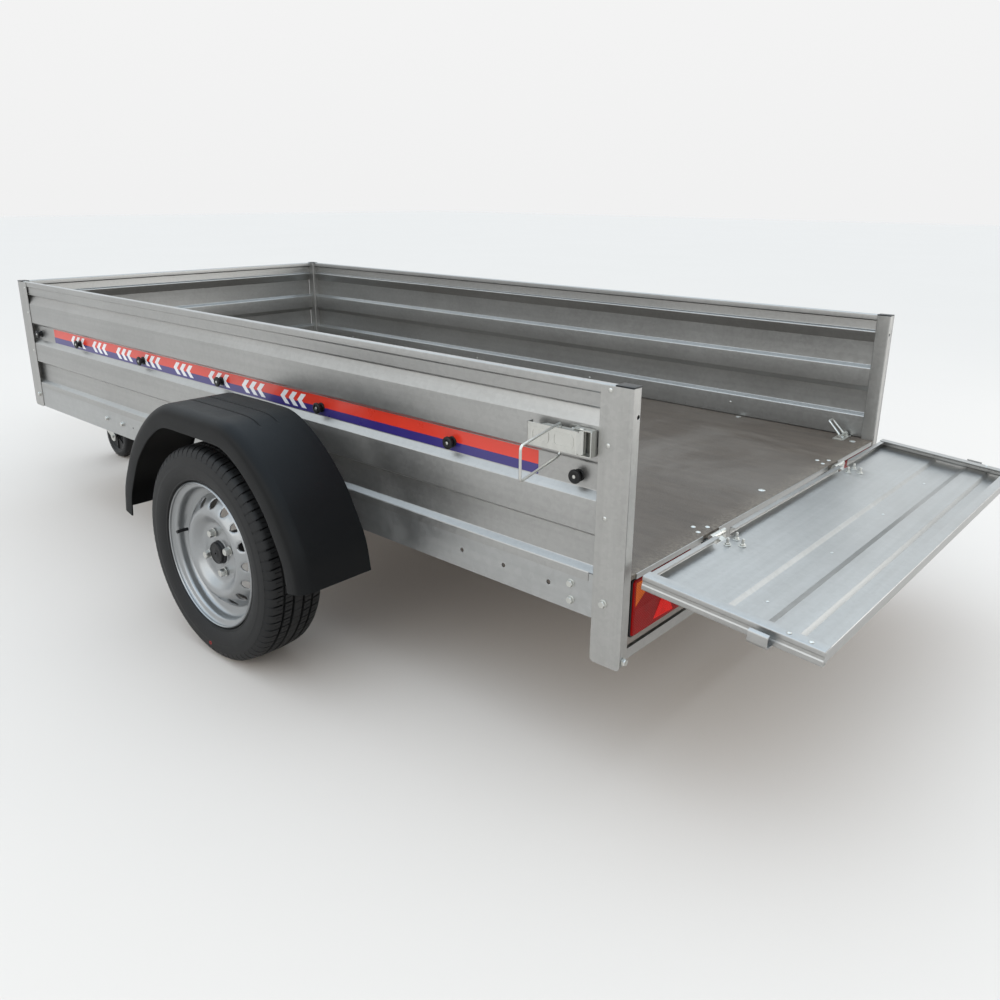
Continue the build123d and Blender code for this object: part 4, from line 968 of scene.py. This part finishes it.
for a, b in ((tip_x + 12 * MM, tip_x + 54 * MM), (tip_x + 62 * MM, pin.x - 8 * MM)):
    raised = panel(a, b, level(-14), level(14), 9 * MM, 6)
    inner_line = [(a + (b - a) * 0.5 + (u - (a + b) / 2) * 0.80, latch_z + (v - latch_z) * 0.74)
        for u, v in raised]
    lifts = ((0.4, raised), (-0.9, raised), (-0.9, inner_line), (-0.05, inner_line))
    rings = [[(u, -HALF - out + lift * MM, v) for u, v in ring] for lift, ring in lifts]
    lever.loft(rings)
mirror_pair("latch_cover", lever, *PLATED, ["latch_handle"], "latch_lever")

bail = Shape()
BAIL_TURN = radians(74.3)
bail_dir = Vector((cos(BAIL_TURN), -sin(BAIL_TURN), 0))
loop = rounded([(0, 15 * MM), (0, 31 * MM), (175 * MM, 31 * MM), (175 * MM, -31 * MM), (0, -31 * MM),
    (0, -15 * MM)], 8 * MM, 8)
bail.tube([bail_pin + bail_dir * a + Vector((0, 0, b)) for a, b in loop], 2.5 * MM, 14)
mirror_pair("latch_wire", bail, *PLATED, ["latch_bail"], "latch_loop", angle=60)

# ---- knobs, rivets and bolts
knobs = Shape()
length = REAR - FRONT
for share in (0.0401, 0.1612, 0.3270, 0.4938, 0.6618, 0.8301, 0.9550):
    for side in (-1, 1):
        spot = (FRONT + share * length, side * (HALF - RIB), TOP - 185 * MM)
        knobs.lathe(in_metres(((0, 0), (0, 12), (3, 12), (4, 11), (4.6, 7.4), (9, 7), (11.6, 9),
            (12.4, 12.6), (13.6, 13.9), (15.6, 14), (17.2, 13.2), (18.4, 11.2), (18.8, 8), (18.2, 5.6),
            (17.6, 5), (17.6, 0))), spot, (0, side, 0), (0, 0, 1), 40)
        knobs.lathe(in_metres(((17.2, 0), (17.2, 3.9), (18.3, 3.4), (18.9, 1.8), (19.0, 0))), spot,
            (0, side, 0), (0, 0, 1), 24, 1)
knobs.build("knobs", "chassis", "black_plastic", [black_plastic, bright_zinc], ["tarp_knobs"])


def dome(shape, spot, out, radius, high):
    """Round rivet or carriage bolt head with a crisp rim."""
    out = Vector(out)
    up = Vector((0, 0, 1)) if abs(out.z) < 0.9 else Vector((1, 0, 0))
    prof = [(0, 0), (0, radius), (high * 0.22, radius)]
    prof += [(high * (0.22 + 0.78 * sin(t)), radius * 0.97 * cos(t)) for t in (0.35, 0.7, 1.05, 1.35)]
    prof.append((high, 0))
    shape.lathe(prof, spot, out, up, 28)


rivets = Shape()
for side in (-1, 1):
    for x, drops in ((REAR - 48 * MM, (10, 111, 250)), (FRONT + 54 * MM, (23, 111, 250))):
        for drop in drops:
            spot = (x, side * POST_OUT, TOP - drop * MM)
            dome(rivets, spot, (0, side, 0), 4.5 * MM, 2 * MM)
    for x in (FRONT + 0.3, AXLE_X - 0.56, AXLE_X, AXLE_X + 0.56):
        dome(rivets, (x, side * (HALF - RIB - SHEET), DECK + 39 * MM), (0, -side, 0), 4 * MM, 1.5 * MM)
rivets.build("rivets", "chassis", *PLATED, ["panel_rivets"])

foot_x = FRONT + 0.648
FRAME_BOLT = (13 * MM, 5.4 * MM, 8.5 * MM)
heads = Shape()
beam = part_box("axle_beam")
for side in (-1, 1):
    for x, up in ((foot_x - 54 * MM, 44), (foot_x + 55 * MM, 43), (REAR - 121 * MM, 57),
            (REAR - 120 * MM, 22)):
        hex_head(heads, (x, side * HALF, RAIL_LOW + up * MM), (0, side, 0), *FRAME_BOLT, x)
    for x, up in ((REAR - 43 * MM, 39), (FRONT + 50 * MM, 44)):
        hex_head(heads, (x, side * POST_OUT, RAIL_LOW + up * MM), (0, side, 0), *FRAME_BOLT, x)
    foot = Vector((REAR, side * (POST_OUT - 13 * MM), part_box("post_rear_left")[0].z + 18 * MM))
    hex_head(heads, foot, (1, 0, 0), *FRAME_BOLT)
    for shift in (-70, 70):
        hex_head(heads, ((beam[0].x + beam[1].x) / 2 + shift * MM, side * (HALF - 20 * MM),
            beam[1].z - 6 * MM), (0, 0, -1), *FRAME_BOLT)
heads.build("hex_heads", "chassis", *PLATED, ["frame_bolts"])

HINGE_Y = HALF - 0.327
screws = Shape()
deck_spots = [(43, HALF - 0.073), (43, 0.073 - HALF), (43, -0.003), (422, HALF - 0.032),
    (422, 0.032 - HALF), (1622, HALF - 0.057), (1622, 0.057 - HALF), (1022, 0.0)]
hinge_spots = [(43, HINGE_Y), (20, HINGE_Y - 0.02), (20, HINGE_Y + 0.02)]
for before, across in deck_spots:
    dome(screws, (REAR - before * MM, across, DECK), (0, 0, 1), 9 * MM, 2.6 * MM)
for before, across in hinge_spots + [(b, -y) for b, y in hinge_spots]:
    dome(screws, (REAR - before * MM, across, DECK), (0, 0, 1), 5.5 * MM, 2.6 * MM)
screws.build("deck_screws", "chassis", *PLATED, ["deck_bolts"])

# ---- tailgate
TILT = radians(4.4)
GATE_U = Vector((cos(TILT), 0, -sin(TILT)))
GATE_W = Vector((sin(TILT), 0, cos(TILT)))
GATE_HALF = HALF - 22.5 * MM
G0, G1 = 10 * MM, 353.5 * MM


def at_gate(u, y, w):
    return HINGE + GATE_U * u + GATE_W * w + Vector((0, y, 0))


gate = Shape()
upper, lower, rim_top = -7.2 * MM, -14.2 * MM, 11 * MM


def pan(with_front):
    body_line = [(G0, upper), (G0 + 144 * MM, upper), (G0 + 152 * MM, lower), (G0 + 218 * MM, lower),
        (G0 + 233 * MM, upper), (G0 + 279 * MM, upper), (G0 + 287 * MM, lower), (G1, lower),
        (G1, rim_top), (G1 - 22 * MM, rim_top)]
    if with_front:
        return sheet([(G0 + 12 * MM, rim_top), (G0, rim_top)] + body_line, SHEET, 2.4 * MM)
    return sheet([(G0 + 8.2 * MM, upper)] + body_line[1:], SHEET, 2.4 * MM)


edge_y = GATE_HALF - 2 * MM
cuts = [-edge_y, -HINGE_Y - 34 * MM, -HINGE_Y + 34 * MM, HINGE_Y - 34 * MM, HINGE_Y + 34 * MM, edge_y]
for k, (a, b) in enumerate(zip(cuts, cuts[1:])):
    gate.prism(pan(k % 2 == 0), lambda u, v, w: at_gate(u, w, v), stations(a, b, 0.2))
gate.build("gate_pan", "tailgate", "galvanised", galvanised_cross, ["gate_sheet"])

end = Shape()
g_top, g_low = 13 * MM, -16.5 * MM
end_line = sheet([(-GATE_HALF + 25 * MM, g_top), (-GATE_HALF, g_top), (-GATE_HALF, 4 * MM),
    (-GATE_HALF + 1.6 * MM, 1.5 * MM), (-GATE_HALF + 1.6 * MM, -4 * MM), (-GATE_HALF, -6.5 * MM),
    (-GATE_HALF, g_low), (-GATE_HALF + 14 * MM, g_low)], 2 * MM,
    [0, 2.6 * MM, 1 * MM, 1 * MM, 1 * MM, 1 * MM, 2.6 * MM, 0], 3)
end.prism(end_line, lambda u, v, w: at_gate(w, u, v), [G0, G1])
hook = sheet([(-GATE_HALF + 12 * MM, g_low), (-HALF + 4 * MM, g_low),
    (-HALF - 2.5 * MM, g_low + 7 * MM), (-HALF - 2.5 * MM, g_top - 3 * MM),
    (-HALF + 5 * MM, g_top - 2 * MM)], -3 * MM, 4.4 * MM, 6)
end.prism(hook, lambda u, v, w: at_gate(w, u, v), [232 * MM, 268 * MM])
mirror_pair("gate_channel", end, "galvanised", galvanised, ["gate_end"], "tailgate", bevel=0.5 * MM)

pins = Shape()
for side in (-1, 1):
    for ahead, aside in ((34, -20), (34, 20), (58, 0)):
        spot = at_gate(ahead * MM, side * HINGE_Y + aside * MM, -6 * MM)
        hex_head(pins, spot, GATE_W, 10 * MM, 4 * MM, 8 * MM, ahead)
        pins.lathe(in_metres([(4, 0), (4, 3), (15, 3), (16, 2.4), (16, 0)]), spot, GATE_W, (0, 1, 0),
            20)
for share in (-0.788, -0.310, 0.172, 0.651):
    dome(pins, at_gate(195 * MM, share * GATE_HALF, -13 * MM), GATE_W, 3.6 * MM, 1.5 * MM)
for ahead in (G1 - 66.5 * MM, G1 - 28.5 * MM):
    for across in (-GATE_HALF + 12 * MM, GATE_HALF - 12 * MM):
        dome(pins, at_gate(ahead, across, g_top), GATE_W, 4.5 * MM, 2.5 * MM)
pins.build("gate_studs", "tailgate", *PLATED, ["gate_fasteners"])

# ---- lashing rings
ring_at = Vector(joints["lashing_ring_left"]["pos_m"])
feet = Shape()
for side in (-1, 1):
    y = side * abs(ring_at.y)
    plate = panel(ring_at.x - 16 * MM, ring_at.x + 16 * MM, y - 34 * MM, y + 34 * MM, 5 * MM, 4)
    feet.prism(plate, along_z, [DECK, DECK + 2.5 * MM])
    for shift in (-26, 26):
        m = y + shift * MM
        saddle = [(ring_at.x + 8.5 * MM * cos(t), DECK + 2 * MM + 12.4 * MM * sin(t))
            for t in [pi * k / 12 for k in range(13)]]
        feet.prism(saddle, along_y, [m - 3 * MM, m + 3 * MM])
    dome(feet, (ring_at.x, y, DECK + 2.5 * MM), (0, 0, 1), 7 * MM, 3 * MM)
feet.build("lashing_feet", "chassis", *PLATED, ["lashing_bases"])
eye = Shape()
lean = Vector((-cos(radians(45)), 0, sin(radians(45))))
loop = rounded([(0, 31 * MM), (0, 15 * MM), (54 * MM, 13 * MM), (54 * MM, -13 * MM), (0, -15 * MM),
    (0, -31 * MM)], 8 * MM, 8)
eye.tube([ring_at + lean * a + Vector((0, b, 0)) for a, b in loop], 3.5 * MM, 16)
mirror_pair("lashing_eye", eye, *PLATED, ["lashing_ring"], "ring", angle=60)

# ---- jockey wheel
roller_at = Vector(joints["jockey_roll"]["pos_m"])
R = roller_at.z
roller = Shape()
half_prof = [(0, R), (12, R), (17, R - 0.0012), (21, R - 0.0042), (23.6, R - 0.0095), (25, R - 0.018),
    (24.6, R - 0.024), (22, R - 0.0262), (21, R - 0.034), (17.4, R - 0.0372), (16.6, 0.050),
    (16.6, 0.026), (19, 0.0195), (25, 0.018), (25, 0.0075), (23, 0.0061)]
prof = [(s * MM, r) for s, r in half_prof] + [(-s * MM, r) for s, r in half_prof[::-1][:-1]]
roller.lathe(prof, roller_at, (0, 1, 0), (0, 0, 1), 96)
for side in (-1, 1):
    for k in range(6):
        a = 2 * pi * k / 6
        ahead = Vector((sin(a), 0, cos(a)))
        across = Vector((cos(a), 0, -sin(a)))
        rib_line = [(0.0172, -0.0026), (0.0575, -0.0018), (0.0575, 0.0018), (0.0172, 0.0026)]
        roller.prism(rib_line, lambda u, v, w: roller_at + ahead * u + across * v + Vector((0, w, 0)),
            [side * 16.2 * MM, side * 20.5 * MM])
roller.build("jockey_tyre", "jockey_roller", "black_plastic", black_plastic, ["jockey_wheel"], angle=30)

# ---- materials on the CAD nodes that stay
STAY = (
    (frame_zinc, "side_rail_left side_rail_right crossmembers drawbar_left drawbar_right axle_beam"),
    (frame_zinc, "swing_arm_left swing_arm_right mudguard_stays"),
    (galvanised_cross, "rear_crossmember bumper_bar"),
    (deck_mat, "deck_board"),
    (coupling_zinc, "coupling_housing jockey_clamp"),
    (black_plastic, "coupling_handle"),
    (hub_iron, "hub_left hub_right"),
    (bright_zinc, "gate_hinge_leaves deck_hinge_leaves jockey_tube jockey_inner jockey_fork jockey_crank"),
)
for mat, names in STAY:
    for name in names.split():
        node = frame["nodes"][name]
        for slot in node.material_slots:
            slot.material = mat
        soften(node, 0.6 * MM, 50)

# ---- studio
floor = bpy.data.meshes.new("floor")
floor.from_pydata([(-40, -40, 0), (40, -40, 0), (40, 40, 0), (-40, 40, 0)], [], [(0, 1, 2, 3)])
floor_obj = bpy.data.objects.new("floor", floor)
link(floor_obj)
k = Mat("floor_paint")
shade = k.mix("MIX", k.noise(0.6, 4.0, 0.6), (0.625, 0.562, 0.508), (0.645, 0.582, 0.528))
floor.materials.append(k.done(shade, 0.85))

world = bpy.data.worlds.new("studio")
bpy.context.scene.world = world
world.use_nodes = True
wt = world.node_tree
back = wt.nodes["Background"]
co = wt.nodes.new("ShaderNodeTexCoord")
sep = wt.nodes.new("ShaderNodeSeparateXYZ")
ramp = wt.nodes.new("ShaderNodeValToRGB")
wt.links.new(co.outputs["Generated"], sep.inputs[0])
wt.links.new(sep.outputs["Z"], ramp.inputs[0])
wt.links.new(ramp.outputs[0], back.inputs["Color"])
stops = ((0.0, (0.40, 0.40, 0.40)), (0.22, (0.41, 0.41, 0.41)), (0.36, (0.60, 0.62, 0.62)),
    (0.60, (0.62, 0.68, 0.73)), (0.85, (0.58, 0.70, 0.82)))
set_stops(ramp, stops)
back.inputs["Strength"].default_value = 2.2


def soft_light(name, at, target, size, power, colour):
    light = bpy.data.lights.new(name, "AREA")
    light.shape, light.size, light.size_y = "RECTANGLE", size[0], size[1]
    light.energy, light.color = power, colour
    lamp_obj = bpy.data.objects.new(name, light)
    lamp_obj.location = at
    lamp_obj.rotation_euler = (Vector(target) - Vector(at)).to_track_quat("-Z", "Y").to_euler()
    link(lamp_obj)


soft_light("overhead", (0.5, -0.6, 5.2), (0.2, 0, 0.4), (6.0, 5.0), 32, (0.95, 0.98, 1.0))
soft_light("side_fill", (0.8, -5.5, 2.6), (0.2, 0, 0.5), (6.0, 2.5), 50, (1.0, 0.97, 0.92))
soft_light("rear_fill", (4.8, 3.0, 1.3), (1.7, 0, 0.6), (2.6, 1.8), 42, (1.0, 0.99, 0.96))

# ---- camera
cam = bpy.data.cameras.new("camera")
cam.sensor_width = 36.0
cam.lens = 31.09
cam.shift_y = -0.035
cam.dof.use_dof = False
camera = bpy.data.objects.new("camera", cam)
right = Vector((0.74772, 0.66398, 0.00734))
down = Vector((0.20420, -0.21942, -0.95402))
ahead = Vector((-0.63184, 0.71484, -0.29964))
m = Matrix.Identity(4)
for i in range(3):
    m[i][0], m[i][1], m[i][2] = right[i], -down[i], -ahead[i]
m[0][3], m[1][3], m[2][3] = 2.4968, -1.8940, 1.1172
camera.matrix_world = m
link(camera)
bpy.context.scene.camera = camera
bpy.context.scene.view_settings.view_transform = "Standard"
bpy.context.scene.view_settings.look = "None"
